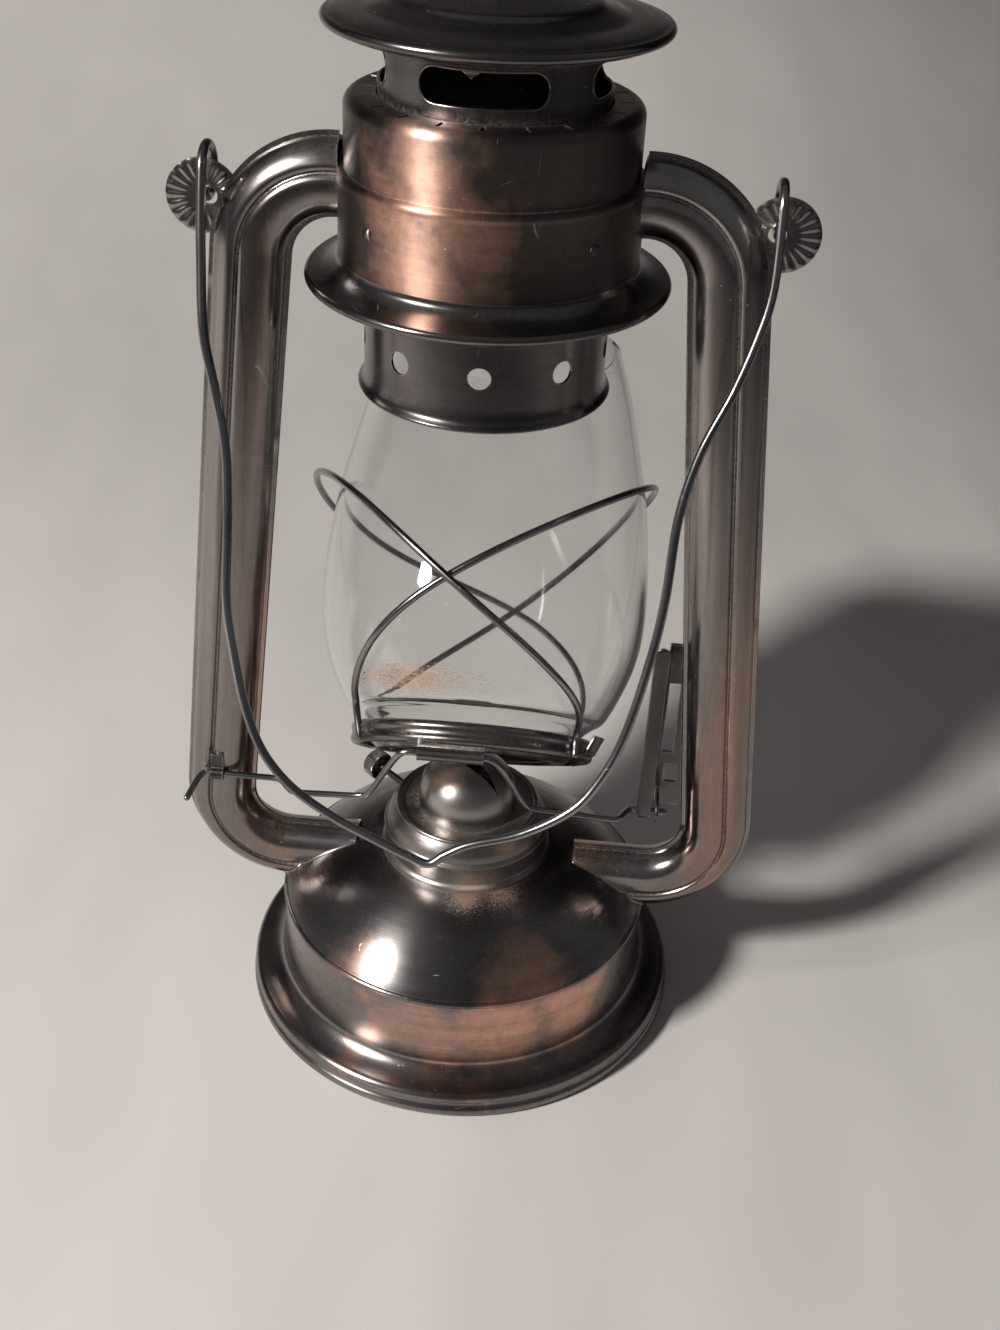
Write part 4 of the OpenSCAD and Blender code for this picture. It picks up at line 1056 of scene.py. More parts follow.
@dataclass
class Fount:
    """The tank: rolled foot, flare and band, dome, pan and filler."""

    base_r: float = 71.48
    band_r: float = 60.8
    seam_r: float = 59.5
    seam_z: float = 36.0
    dome_top_z: float = 54.5
    dome_flat_r: float = 27.0
    dome_hole_r: float = 21.2
    foot_bead_r: float = 2.2
    upper_bead_r: float = 2.1
    upper_bead_z: float = 6.6
    flare_top_z: float = 13.9
    seam_bead_r: float = 1.1
    sheet: float = 0.7
    filler_at: tuple[float, float] = (-4.3, 49.2)
    filler_r: float = 7.5
    body: str = "lantern_frame"

    @property
    def dome_drop(self) -> float:
        """How far the dome falls from its flat top to the seam."""
        return self.dome_top_z - self.seam_z - 1.5

    @property
    def dome_arc_r(self) -> float:
        """Radius of the dome's arc, which is level where it leaves the flat top."""
        span = self.seam_r - self.dome_flat_r
        return (span**2 + self.dome_drop**2) / (2 * self.dome_drop)

    def dome_radius(self, z: np.ndarray) -> np.ndarray:
        """Radius of the fount's outside at the heights z above the seam, 0 above the dome."""
        centre_z = self.dome_top_z - self.dome_arc_r
        inside = np.clip(self.dome_arc_r**2 - (z - centre_z) ** 2, 0, None)
        r = self.dome_flat_r + np.sqrt(inside)
        r = np.where(z < self.seam_z + 2 * self.seam_bead_r - 0.15, self.seam_r + self.seam_bead_r - 0.15, r)
        return np.where(z > self.dome_top_z, 0, r)

    def skirt(self) -> bpy.types.Object:
        """Outline: foot bead, bead above it, quarter-sine flare and straight band, then back inside."""
        angle = np.radians(np.linspace(0, 90, 25))
        lip_r = self.base_r - 2.6
        lip_z = self.upper_bead_z + self.upper_bead_r
        flare = np.stack(
            [
                lip_r - (lip_r - self.band_r) * np.sin(angle),
                self.flare_top_z - (self.flare_top_z - lip_z) * np.cos(angle),
            ],
            axis=1,
        )
        outside = np.vstack(
            [
                arc((self.base_r - self.foot_bead_r, self.foot_bead_r - 0.2), self.foot_bead_r, -90, 55, 12),
                arc((self.base_r - self.upper_bead_r - 0.6, self.upper_bead_z), self.upper_bead_r, -48, 88, 12),
                flare[1:],
                even_line(np.array([flare[-1], [self.seam_r, self.seam_z]]), 14)[1:],
            ]
        )
        outside[:, 1] = np.maximum(outside[:, 1], 0)
        inside = np.vstack(
            [
                [self.seam_r - self.sheet, self.seam_z],
                beside(flare, self.sheet)[::-1],
                arc((self.base_r - self.upper_bead_r - 0.6, self.upper_bead_z), self.upper_bead_r, 130, 228, 8),
                arc((self.base_r - self.foot_bead_r, self.foot_bead_r - 0.2), self.foot_bead_r, 125, 255, 10),
            ]
        )
        inside[:, 1] = np.maximum(inside[:, 1], 0)
        return new_object("fount_skirt_sheet", [revolved(np.vstack([outside, inside]), 224)])

    def dome(self) -> bpy.types.Object:
        """Outline: seam bead, arc up to the flat top, the hole for the burner, then back inside."""
        centre = (self.dome_flat_r, self.dome_top_z - self.dome_arc_r)
        low = math.degrees(math.asin((self.seam_z + 1.9 - centre[1]) / self.dome_arc_r))
        bead = arc((self.seam_r - 0.2, self.seam_z + 0.9), self.seam_bead_r, -55, 75, 12)
        outside = np.vstack(
            [
                bead,
                arc(centre, self.dome_arc_r, low, 90, 40),
                [[self.dome_hole_r, self.dome_top_z], [self.dome_hole_r, self.dome_top_z - self.sheet]],
                arc(centre, self.dome_arc_r - self.sheet, 90, low, 40),
                [[self.seam_r - 1.6, self.seam_z + 0.2]],
            ]
        )
        obj = new_object("fount_dome_sheet", [revolved(outside, 224)])
        x, y = self.filler_at
        hole = arc((0, 0), self.filler_r - 0.1, 0, 354, 59)
        levels = np.array([self.dome_top_z - 14, self.dome_top_z + 4])
        grid = np.stack(
            [
                x + hole[None, :, 0] + 0 * levels[:, None],
                y + hole[None, :, 1] + 0 * levels[:, None],
                levels[:, None] + 0 * hole[None, :, 0],
            ],
            axis=-1,
        )
        pierce(obj, [grid_shell(grid, ring_rows=False, ring_columns=True, capped=True)])
        return obj

    def filler_cap(self) -> bpy.types.Object:
        """A turned cap whose rim is knurled: its radius follows a fine cosine of the angle."""
        outline = rounded_line(
            [[7.8, 52.6], [9.0, 52.6], [9.0, 56.6], [8.2, 57.6], [5.2, 57.6], [4.6, 57.1], [0.0, 57.1]], 0.3
        )
        inner = np.array([[0.0, 55.7], [7.8, 55.7]])
        line = np.vstack([outline, inner])
        a = FULL_TURN * np.arange(240)[:, None] / 240
        r, z = line[None, :, 0], line[None, :, 1]
        knurl = np.where(r > 8.4, 0.16 * (np.cos(48 * a) - 1), 0)
        x, y = self.filler_at
        grid = np.stack([x + (r + knurl) * np.cos(a), y + (r + knurl) * np.sin(a), z + 0 * a], axis=-1)
        return new_object("filler_cap_turned", [grid_shell(grid, ring_rows=True, ring_columns=True)])

    def build(self, shop: Workshop) -> None:
        """Makes and dresses the tank's pieces."""
        shop.place(self.skirt(), self.body, BAND, "fount_skirt")
        shop.place(self.dome(), self.body, TANK, "fount_dome")
        shop.soften("fount_bottom", self.body, TANK, 0.0)
        shop.soften("filler_neck", self.body, TANK)
        shop.soften("filler_gasket", "filler_gasket", GASKET)
        shop.place(self.filler_cap(), "filler_cap", TANK, "filler_cap")


# Burner


@dataclass
class Burner:
    """Burner seat, grooved collar, slotted cone, wick tube, wick and its winding gear."""

    collar_r: float = 26.5
    base_z: float = 54.5
    cone_r: float = 15.9
    cone_base_z: float = 69.9
    cone_h: float = 16.4
    cone_t: float = 0.6
    sheet: float = 0.7
    wick_azimuth: float = 137.0
    spindle_z: float = 64.5
    spindle_offset: float = 5.5
    spindle_r: float = 1.18
    knob_r: float = 4.8
    knob_reach: float = 40.0
    knob_depth: float = 5.0
    body: str = "lantern_frame"

    def along_spindle(self, shell: Shell, reach: float) -> Shell:
        """Lays a shell drawn along +Z along the spindle, starting at the given reach."""
        turned = shell.turned(turn_matrix("Y", 90), (reach, self.spindle_offset, self.spindle_z))
        return turned.turned(turn_matrix("Z", self.wick_azimuth))

    def collar(self) -> bpy.types.Object:
        """Outline: foot flange, wall with a raised ring, shoulder roll, top ring, then back inside."""
        r, z = self.collar_r, self.base_z
        wall = np.vstack(
            [
                rounded_line([[r + 1.2, z], [r + 1.2, z + 1.4], [r + 0.1, z + 2.5], [r - 0.05, z + 7.9]], 0.6),
                arc((r - 0.3, z + 8.9), 0.85, -70, 78, 10),
                smooth_line([[r - 0.6, z + 10.2], [r - 1.2, z + 12.7], [r - 2.5, z + 15.0]], 5),
                arc((r - 4.2, z + 16.1), 0.95, -12, 168, 12),
                [[r - 5.2, self.cone_base_z], [13.0, self.cone_base_z], [13.0, self.cone_base_z - self.sheet]],
                [[r - 5.0, self.cone_base_z - self.sheet]],
                smooth_line([[r - 4.0, z + 14.6], [r - 1.9, z + 12.4], [r - 1.2, z + 9.8]], 4),
                [[r - 0.8, z + 3.0], [r + 0.4, z + 1.5], [r + 0.4, z]],
            ]
        )
        obj = new_object("burner_collar_shell", [revolved(wall, 176)])
        hole = np.stack([arc((0, 0), self.spindle_r, 0, 345, 23)] * 2)
        reach = np.array([0.0, self.knob_reach])[:, None]
        grid = np.stack([hole[..., 0], hole[..., 1], reach + 0 * hole[..., 0]], axis=-1)
        drill = grid_shell(grid, ring_rows=False, ring_columns=True, capped=True)
        pierce(obj, [self.along_spindle(drill, 10.0)])
        return obj

    def cone(self) -> bpy.types.Object:
        """A superellipse of the third degree about Z, slit by a pointed slot along the wick."""
        a = np.radians(np.linspace(0, 90, 37))
        outside = np.stack(
            [self.cone_r * np.cos(a) ** (2 / 3), self.cone_base_z + self.cone_h * np.sin(a) ** (2 / 3)], axis=1
        )
        outside[-1, 0] = 0
        outside = even_line(outside, 40)
        inside = beside(outside, self.cone_t)[::-1]
        inside[:, 0] = np.maximum(inside[:, 0], 0)
        inside[0, 0] = 0
        obj = new_object("burner_cone_shell", [revolved(np.vstack([outside, inside]), 144)])
        x = np.linspace(-14.5, 14.5, 41)
        half = 2.2 * (1 - (x / 14.5) ** 2) + 0.02
        rim = np.vstack([np.stack([x, half], axis=1), np.stack([x[::-1], -half[::-1]], axis=1)])
        levels = np.array([self.cone_base_z + 5, self.cone_base_z + 24])[:, None]
        grid = np.stack([rim[None, :, 0] + 0 * levels, rim[None, :, 1] + 0 * levels, levels + 0 * rim[None, :, 0]], -1)
        slot = grid_shell(grid, ring_rows=False, ring_columns=True, capped=True)
        pierce(obj, [slot.turned(turn_matrix("Z", self.wick_azimuth))])
        return obj

    def knob(self) -> bpy.types.Object:
        """A pressed cup with a rolled, finely knurled rim that opens towards the burner."""
        d, r = self.knob_depth, self.knob_r
        line = rounded_line(
            [
                [1.11, 1.2], [2.1, 1.2], [2.1, d - 1.0], [r - 0.9, d - 1.0], [r - 0.9, 0.2], [r - 0.45, 0.0],
                [r, 0.3], [r, d - 0.6], [r - 0.6, d], [1.11, d],
            ],
            0.25,
        )
        a = FULL_TURN * np.arange(144)[:, None] / 144
        radius, z = line[None, :, 0], line[None, :, 1]
        knurl = np.where(radius > r - 0.3, 0.10 * (np.cos(36 * a) - 1), 0)
        grid = np.stack([(radius + knurl) * np.cos(a), (radius + knurl) * np.sin(a), z + 0 * a], axis=-1)
        shell = grid_shell(grid, ring_rows=True, ring_columns=True)
        return new_object("wick_knob_cup", [self.along_spindle(shell, self.knob_reach - d / 2)])

    def build(self, shop: Workshop) -> None:
        """Makes and dresses the burner's pieces."""
        shop.place(self.collar(), self.body, BURNER, "burner_collar")
        shop.place(self.cone(), self.body, CONE, "burner_cone")
        shop.place(self.knob(), "wick_drive", PLATE, "wick_knob")
        shop.soften("burner_body", self.body, BURNER)
        shop.soften("wick_tube", self.body, BURNER, 0.1)
        shop.soften("wick", "wick", WICK, 0.3)
        shop.soften("wick_spindle", "wick_drive", LEVER)
        shop.soften("wick_wheels", "wick_drive", PLATE, 0.08)


# Side tubes


@dataclass
class SideTubes:
    """The two side tubes, each a front and a back half with crimped flanges, and the bail's ears."""

    fount: Fount
    top_x: float = 61.9
    top_z: float = 272.0
    foot_x: float = 83.49
    foot_z: float = 45.5
    foot_end_x: float = 36.0
    bend_r: float = 23.0
    chamber_r: float = 39.8
    seam_gap: float = 0.02
    ear_at: tuple[float, float] = (76.0, 264.0)
    ear_hole_at: tuple[float, float] = (74.5, 264.2)
    ear_r: float = 10.0
    ear_hole_r: float = 2.4
    ear_t: float = 1.2
    flange_a: float = 11.2
    body: str = "lantern_frame"
    outside: tuple = (
        (-9.95, 0.8), (-9.5, 3.0), (-8.2, 5.6), (-5.8, 7.5), (-2.6, 8.35), (0.2, 8.3), (1.5, 7.7),
        (2.3, 6.9), (3.1, 7.6), (4.4, 7.8), (6.2, 6.9), (8.0, 5.3), (9.4, 3.0), (9.95, 0.8),
    )
    inside: tuple = (
        (8.9, 0.0), (8.5, 2.5), (7.4, 4.4), (6.0, 5.9), (4.3, 6.7), (2.3, 6.1), (0.3, 7.3), (-2.4, 7.5),
        (-5.0, 6.8), (-7.2, 5.1), (-8.5, 2.9), (-8.9, 0.0),
    )
    crimps: tuple = ((0.13, 1), (0.34, -1), (0.56, 1), (0.78, 1), (0.9, -1))

    @property
    def lean(self) -> float:
        """Lean of the leg from upright, in radians."""
        return math.atan((self.foot_x - self.top_x) / (self.top_z - self.foot_z))

    @property
    def upper_bend(self) -> tuple[float, float]:
        """Centre of the upper bend."""
        turn = math.pi / 2 - self.lean
        return self.top_x - self.bend_r * math.tan(turn / 2), self.top_z - self.bend_r

    @property
    def lower_bend(self) -> tuple[float, float]:
        """Centre of the lower bend."""
        turn = math.pi / 2 + self.lean
        return self.foot_x - self.bend_r * math.tan(turn / 2), self.foot_z + self.bend_r

    def section(self) -> np.ndarray:
        """Closed half section: away from the lantern, and towards the half's own side."""
        edge = self.flange_a
        lobes = smooth_line(self.outside, 5)
        walls = smooth_line(self.inside, 3)
        walls[:, 1] = np.maximum(walls[:, 1], 0)
        left = [[-edge, 0.0], [-edge, 0.35], [-edge + 0.25, 0.75]]
        right = [[edge - 0.25, 0.75], [edge, 0.35], [edge, 0.0]]
        outline = np.vstack([left, lobes, right, walls])
        outline[:, 1] += self.seam_gap
        return outline

    def half(self, front: bool) -> np.ndarray:
        """Grid of the right tube's front or back half, coped at both ends.

        With (a, b) a point of the section, the upper bend is (cx + (R + a) cos t, cz + (R + a) sin t)
        from where the arc reaches the chamber's wall down to the leg, the leg is straight between
        the bends, the lower bend mirrors the upper one, and the foot runs level to the dome.

        Args:
            front: Whether the half faces the front.

        Returns:
            Rows along the tube by columns round the section by 3.
        """
        section = self.section()
        a, b = section[None, :, 0], section[None, :, 1]
        lean, reach = self.lean, self.bend_r + a
        (ux, uz), (lx, lz) = self.upper_bend, self.lower_bend
        wall_x = np.sqrt(self.chamber_r**2 - b**2) - 0.15
        last = np.arccos(np.clip((wall_x - ux) / reach, -1, 1))
        t = np.linspace(1, 0, 36)[:, None]
        turn = lean + (last - lean) * t
        head = np.stack([ux + reach * np.cos(turn), uz + reach * np.sin(turn)])
        start = np.stack([ux + reach * math.cos(lean), uz + reach * math.sin(lean)])
        end = np.stack([lx + reach * math.cos(lean), lz + reach * math.sin(lean)])
        s = np.linspace(0, 1, 110)[None, 1:-1, None]
        leg = start * (1 - s) + end * s
        turn = lean - (lean + math.pi / 2) * np.linspace(0, 1, 36)[:, None]
        bend = np.stack([lx + reach * np.cos(turn), lz + reach * np.sin(turn)])
        foot_z = self.foot_z - a
        dome_x = np.sqrt(np.clip(self.fount.dome_radius(foot_z) ** 2 - b**2, 0, None))
        stop_x = np.maximum(dome_x - 0.1, self.foot_end_x)
        k = np.linspace(0, 1, 14)[1:, None]
        foot = np.stack([lx + (stop_x - lx) * k, foot_z + 0 * k])
        x, z = np.concatenate([head, leg, bend, foot], axis=1)
        y = b + self.crimp_height(x, z, a)
        y = -y if front else y
        return np.stack([x, y, z], axis=-1)

    def crimp_height(self, x: np.ndarray, z: np.ndarray, a: np.ndarray) -> np.ndarray:
        """Small pressed notches on the flanges: a bell of height 0.5 round each crimp's place.

        Args:
            x: Distance from the lantern's middle plane.
            z: Height.
            a: Place across the section.

        Returns:
            How far the surface moves towards its own side.
        """
        along = (self.top_z - z) / (self.top_z - self.foot_z)
        height = np.zeros_like(x)
        for share, side in self.crimps:
            off = (along - share) * (self.top_z - self.foot_z)
            near = np.exp(-((off / 2.2) ** 2) - ((a - side * 9.9) / 0.9) ** 2)
            height = height + 0.55 * near * (np.abs(a) > 8.95)
        return height

    def seat_bead(self) -> np.ndarray:
        """Line of the soldered edge where the right tube's front half meets the dome."""
        lobes = smooth_line(self.outside, 5)
        a, b = lobes[:, 0], lobes[:, 1] + self.seam_gap
        z = self.foot_z - a
        x = np.sqrt(np.clip(self.fount.dome_radius(z) ** 2 - b**2, 0, None))
        keep = x > self.foot_end_x
        return np.stack([x[keep], -b[keep], z[keep]], axis=1)

    def ear(self) -> Shell:
        """The right ear: a pressed disc with rays, between its hole and its rim or the tube's bend.

        The grid runs round the hole by angle, and from the hole out along each ray on the front,
        then back in on the back. The outer end of a ray is the nearer of the ear's circle and the
        tube's outer flange.
        """
        steps = 144
        angle = FULL_TURN * np.arange(steps) / steps
        ray = np.stack([np.cos(angle), np.sin(angle)], axis=1)
        hole = np.asarray(self.ear_hole_at) + self.ear_hole_r * ray
        to_ear = hole - np.asarray(self.ear_at)
        dot = np.sum(to_ear * ray, axis=1)
        rim = -dot + np.sqrt(dot**2 - np.sum(to_ear**2, axis=1) + self.ear_r**2)
        to_bend = hole - np.asarray(self.upper_bend)
        dot = np.sum(to_bend * ray, axis=1)
        inside = dot**2 - np.sum(to_bend**2, axis=1) + (self.bend_r + self.flange_a - 1.2) ** 2
        bend = np.where((inside > 0) & (dot < 0), -dot - np.sqrt(np.clip(inside, 0, None)), 1e3)
        out = np.minimum(rim, np.maximum(bend, 0.1))
        share = np.concatenate([np.linspace(0, 1, 12), np.linspace(1, 0, 12)])
        facing = np.concatenate([-np.ones(12), np.ones(12)])
        reach = share[None, :] * out[:, None]
        place = hole[:, None] + reach[..., None] * ray[:, None]
        from_middle = np.linalg.norm(place - np.asarray(self.ear_at), axis=-1)
        around = np.arctan2(place[..., 1] - self.ear_at[1], place[..., 0] - self.ear_at[0])
        band = np.clip((from_middle - 4.5) / 1.5, 0, 1) * np.clip((9.8 - from_middle) / 1.0, 0, 1)
        rays = 0.2 * band * np.cos(20 * around)
        rim_round = 0.25 * (share[None, :] > 0.99)
        y = facing[None, :] * (self.ear_t / 2 - rim_round) - rays
        grid = np.stack([place[..., 0], y, place[..., 1]], axis=-1)
        return grid_shell(grid, ring_rows=True, ring_columns=True)

    def build(self, shop: Workshop) -> None:
        """Makes and dresses the tubes' halves, their soldered edges and the ears."""
        flip = np.diag([-1.0, 1.0, 1.0])
        bead = even_line(self.seat_bead(), 60)
        bead_side = np.array([0.0, 0.2, 1.0])
        for side, mirror in (("right", np.eye(3)), ("left", flip)):
            for face in ("front", "back"):
                grid = self.half(front=face == "front") @ mirror
                shell = grid_shell(grid, ring_rows=False, ring_columns=True, capped=True)
                node = f"tube_{side}_{face}"
                shop.place(new_object(node + "_pressing", [shell]), self.body, TUBES, node)
            front_bead = wire_shell(bead @ mirror, 0.45, bead_side, sides=10)
            back = np.diag([1.0, -1.0, 1.0])
            back_bead = wire_shell(bead @ mirror @ back, 0.45, bead_side, sides=10)
            solder = new_object(f"tube_{side}_solder", [front_bead, back_bead])
            shop.place(solder, self.body, TUBES)
            ear = self.ear().turned(mirror)
            shop.place(new_object(f"ear_{side}_disc", [ear]), self.body, TUBES, f"ear_{side}")


# Air chamber


@dataclass
class AirChamber:
    """The chamber on top: lower wall, upper wall with louvres, rolled brim and dimples."""

    wall_r: float = 39.8
    cap_r: float = 38.2
    base_z: float = 254.0
    step_z: float = 276.6
    top_z: float = 294.7
    hole_r: float = 30.0
    brim_r: float = 48.8
    brim_roll_r: float = 1.3
    brim_z: float = 248.4
    sheet: float = 0.7
    louvres: int = 20
    rivet_z: float = 266.0
    window_z: float = 269.0
    body: str = "lantern_frame"

    def lower_wall(self) -> bpy.types.Object:
        """Outline: straight wall, a small ridge and the step in to the upper wall."""
        line = rounded_line(
            [
                [self.wall_r, self.base_z], [self.wall_r, self.step_z - 2.4], [self.wall_r + 0.4, self.step_z - 1.6],
                [self.wall_r + 0.3, self.step_z - 0.7], [self.wall_r - 0.6, self.step_z],
                [self.cap_r - self.sheet, self.step_z],
            ],
            0.5,
        )
        obj = new_object("chamber_lower_wall", [revolved(sheet_outline(line, self.sheet), 192)])
        rim = arc((0, self.window_z), 1, 0, 350, 35)
        window = np.stack([4 * rim[:, 0] / self.wall_r, self.window_z + 4 * (rim[:, 1] - self.window_z)], axis=1)
        opposite = window + np.array([math.pi, 0])
        pierce(obj, [radial_cutter(window, 34, 44), radial_cutter(opposite, 34, 44)])
        return obj

    def upper_wall(self) -> bpy.types.Object:
        """Outline: straight wall, rounded shoulder and flat top with radial louvres round its hole."""
        line = np.vstack(
            [
                [[self.cap_r, self.step_z]],
                arc((self.cap_r - 3, self.top_z - 3), 3, 0, 90, 12),
                [[self.hole_r, self.top_z]],
            ]
        )
        obj = new_object("chamber_upper_wall", [revolved(sheet_outline(line, self.sheet), 192)])
        corners = [[31.0, -0.6], [35.2, -0.6], [35.2, 0.6], [31.0, 0.6]]
        x, y = np.array(corners).T
        levels = np.array([self.top_z - 2, self.top_z + 2])[:, None]
        grid = np.stack([x + 0 * levels, y + 0 * levels, levels + 0 * x], axis=-1)
        slit = grid_shell(grid, ring_rows=False, ring_columns=True, capped=True)
        turns = [-18 + 360 * k / self.louvres for k in range(self.louvres)]
        pierce(obj, [slit.turned(turn_matrix("Z", turn)) for turn in turns])
        return obj

    def brim(self) -> bpy.types.Object:
        """Outline: rolled edge, shallow cone and the turn up to the wall, then back underneath."""
        roll = self.brim_r - self.brim_roll_r
        top = smooth_line(
            [
                [roll - 0.3, self.brim_z + 1.3], [roll - 3, self.brim_z + 1.8], [roll - 5.4, self.brim_z + 2.8],
                [self.wall_r + 0.4, self.brim_z + 4.3], [self.wall_r + 0.02, self.base_z + 0.3],
            ],
            5,
        )
        under = beside(top, self.sheet)[::-1]
        edge = arc((roll, self.brim_z), self.brim_roll_r, -180, 95, 22)
        return new_object("chamber_brim_sheet", [revolved(np.vstack([edge, top, under[:-2]]), 192)])

    def dimples(self) -> bpy.types.Object:
        """Four domed pips on the lower wall: each a half ellipsoid seen along its radius."""
        ring = FULL_TURN * np.arange(24)[:, None] / 24
        rise = np.radians(np.array([0, 15, 35, 60, 90]))[None, :]
        out = self.wall_r - 0.2 + 0.95 * np.sin(rise) + 0 * ring
        across = 1.7 * np.cos(rise) * np.cos(ring)
        up = 1.7 * np.cos(rise) * np.sin(ring)
        grid = np.stack([out, across, self.rivet_z + up], axis=-1)
        base = grid.copy()
        base[..., 0] = self.wall_r - 0.5
        pip = np.concatenate([grid, base[:, :1]], axis=1)
        closed = grid_shell(pip, ring_rows=True, ring_columns=False)
        lid = [[k * pip.shape[1] + pip.shape[1] - 1 for k in range(24)]]
        lengths = np.vstack([closed.lengths, np.zeros((24, 2))])
        shell = Shell(closed.points, closed.faces + lid, lengths)
        turns = (45, 135, 225, 315)
        return new_object("chamber_pips", [shell.turned(turn_matrix("Z", turn)) for turn in turns])

    def build(self, shop: Workshop) -> None:
        """Makes and dresses the chamber's pieces."""
        shop.place(self.lower_wall(), self.body, CHAMBER, "chamber_lower")
        shop.place(self.upper_wall(), self.body, CHAMBER, "chamber_upper")
        shop.place(self.brim(), self.body, HOOD, "chamber_brim")
        shop.place(self.dimples(), self.body, CHAMBER, "chamber_rivets")


# Chimney


@dataclass
class Chimney:
    """The chimney: slotted neck, hood with its liner, pierced collar over the globe, staple and ring."""

    neck_r: float = 29.6
    neck_base_z: float = 245.4
    neck_top_z: float = 308.2
    slot_base_z: float = 298.0
    slot_top_z: float = 306.7
    slot_angle: float = 64.0
    slot_azimuth: float = -91.5
    collar_r: float = 33.0
    collar_base_z: float = 217.6
    shoulder_r: float = 36.9
    hole_z: float = 232.0
    hole_r: float = 3.1
    holes: int = 9
    hole_azimuth: float = -87.7
    hood_r: float = 43.7
    hood_rim_z: float = 312.6
    hood_roll_r: float = 1.3
    hood_top_z: float = 321.0
    sheet: float = 0.7
    staple_r: float = 3.7
    staple_wire_r: float = 0.9
    ring_r: float = 8.5
    ring_wire_r: float = 1.1
    body: str = "chimney"

    def slot_loop(self, grow: float = 0.0) -> np.ndarray:
        """Rim of one slot as angle and height: a band with round ends, grown by grow."""
        end_r = (self.slot_top_z - self.slot_base_z) / 2 + grow
        middle_z = (self.slot_top_z + self.slot_base_z) / 2
        half = math.radians(self.slot_angle / 2) * self.neck_r - (end_r - grow)
        right = arc((half, middle_z), end_r, -90, 90, 12)
        left = arc((-half, middle_z), end_r, 90, 270, 12)
        top = np.linspace(right[-1], left[0], 22)[1:-1]
        bottom = np.linspace(left[-1], right[0], 22)[1:-1]
        loop = np.vstack([right, top, left, bottom])
        loop[:, 0] /= self.neck_r
        return loop

    def neck(self) -> bpy.types.Object:
        """A plain tube, a grid in height, pierced by four slots."""
        z = np.linspace(self.neck_base_z, self.neck_top_z, 16)
        line = np.stack([self.neck_r + 0 * z, z], axis=1)
        obj = new_object("chimney_neck_tube", [revolved(sheet_outline(line, self.sheet), 192)])
        loop = self.slot_loop()
        turns = [math.radians(self.slot_azimuth + 90 * k) for k in range(4)]
        pierce(obj, [radial_cutter(loop + np.array([turn, 0]), 24, 34) for turn in turns])
        return obj

    def slot_lips(self) -> bpy.types.Object:
        """A thin turned-in lip round each slot: a round bead carried along the slot's rim."""
        loop = self.slot_loop(0.1)
        section = arc((0, 0), 0.42, 0, 324, 9)
        shells = []
        for k in range(4):
            a = loop[:, 0] + math.radians(self.slot_azimuth + 90 * k)
            out = np.stack([np.cos(a), np.sin(a), 0 * a], axis=1)
            rim = (self.neck_r - 0.25) * out + np.stack([0 * a, 0 * a, loop[:, 1]], axis=1)
            heading = np.roll(rim, -1, axis=0) - np.roll(rim, 1, axis=0)
            heading /= np.linalg.norm(heading, axis=1, keepdims=True)
            up = np.cross(heading, out)
            grid = rim[:, None] + section[None, :, :1] * out[:, None] + section[None, :, 1:] * up[:, None]
            shells.append(grid_shell(grid, ring_rows=True, ring_columns=True))
        return new_object("neck_slot_lips", shells)

    def slot_tab(self) -> bpy.types.Object:
        """The pointed tab that hangs in the front slot: a leaf that narrows with depth."""
        s = np.linspace(0, 1, 13)[:, None]
        u = np.linspace(-1, 1, 9)[None, :]
        half = 3.2 * (1 - s) ** 1.4 + 0.05
        angle = math.radians(-97.0) + u * half / self.neck_r
        height = self.slot_top_z + 0.3 - 2.6 * s + 0 * u
        layers = []
        for depth in (0.25, -0.25):
            r = self.neck_r - 0.35 + depth - 1.2 * s**2
            layers.append(np.stack([r * np.cos(angle), r * np.sin(angle), height], axis=-1))
        loop = np.concatenate([layers[0], layers[1][:, ::-1]], axis=1)
        return new_object("neck_slot_tab", [grid_shell(loop, ring_rows=False, ring_columns=True, capped=True)])

    def globe_collar(self) -> bpy.types.Object:
        """Outline: rolled foot, flare, straight wall, shoulder bead and the turn in to the neck."""
        flare = self.collar_r + 1.7
        r, z = self.collar_r, self.collar_base_z
        line = np.vstack(
            [
                smooth_line([[flare - 0.35, z + 1.1], [r + 0.4, z + 2.2], [r + 0.02, z + 4.2]], 5),
                np.linspace([r, z + 6], [r, 240.6], 12),
                rounded_line(
                    [
                        [r, 241.2], [r + 0.8, 242.0], [self.shoulder_r - 0.6, 242.5], [self.shoulder_r, 243.2],
                        [self.shoulder_r - 0.3, 244.6], [self.shoulder_r - 1.3, self.neck_base_z - 0.1],
                        [self.neck_r - 0.9, self.neck_base_z],
                    ],
                    0.5,
                ),
            ]
        )
        roll = arc((flare - 0.6, z + 0.6), 0.6, -200, 60, 14)
        outline = np.vstack([roll, line, beside(line, self.sheet)[::-1]])
        obj = new_object("globe_collar_sheet", [revolved(outline, 192)])
        rim = arc((0, 0), self.hole_r, 0, 350, 35)
        hole = np.stack([rim[:, 0] / r, self.hole_z + rim[:, 1]], axis=1)
        turns = [math.radians(self.hole_azimuth + 360 * k / self.holes) for k in range(self.holes)]
        pierce(obj, [radial_cutter(hole + np.array([turn, 0]), 29, 37) for turn in turns])
        return obj

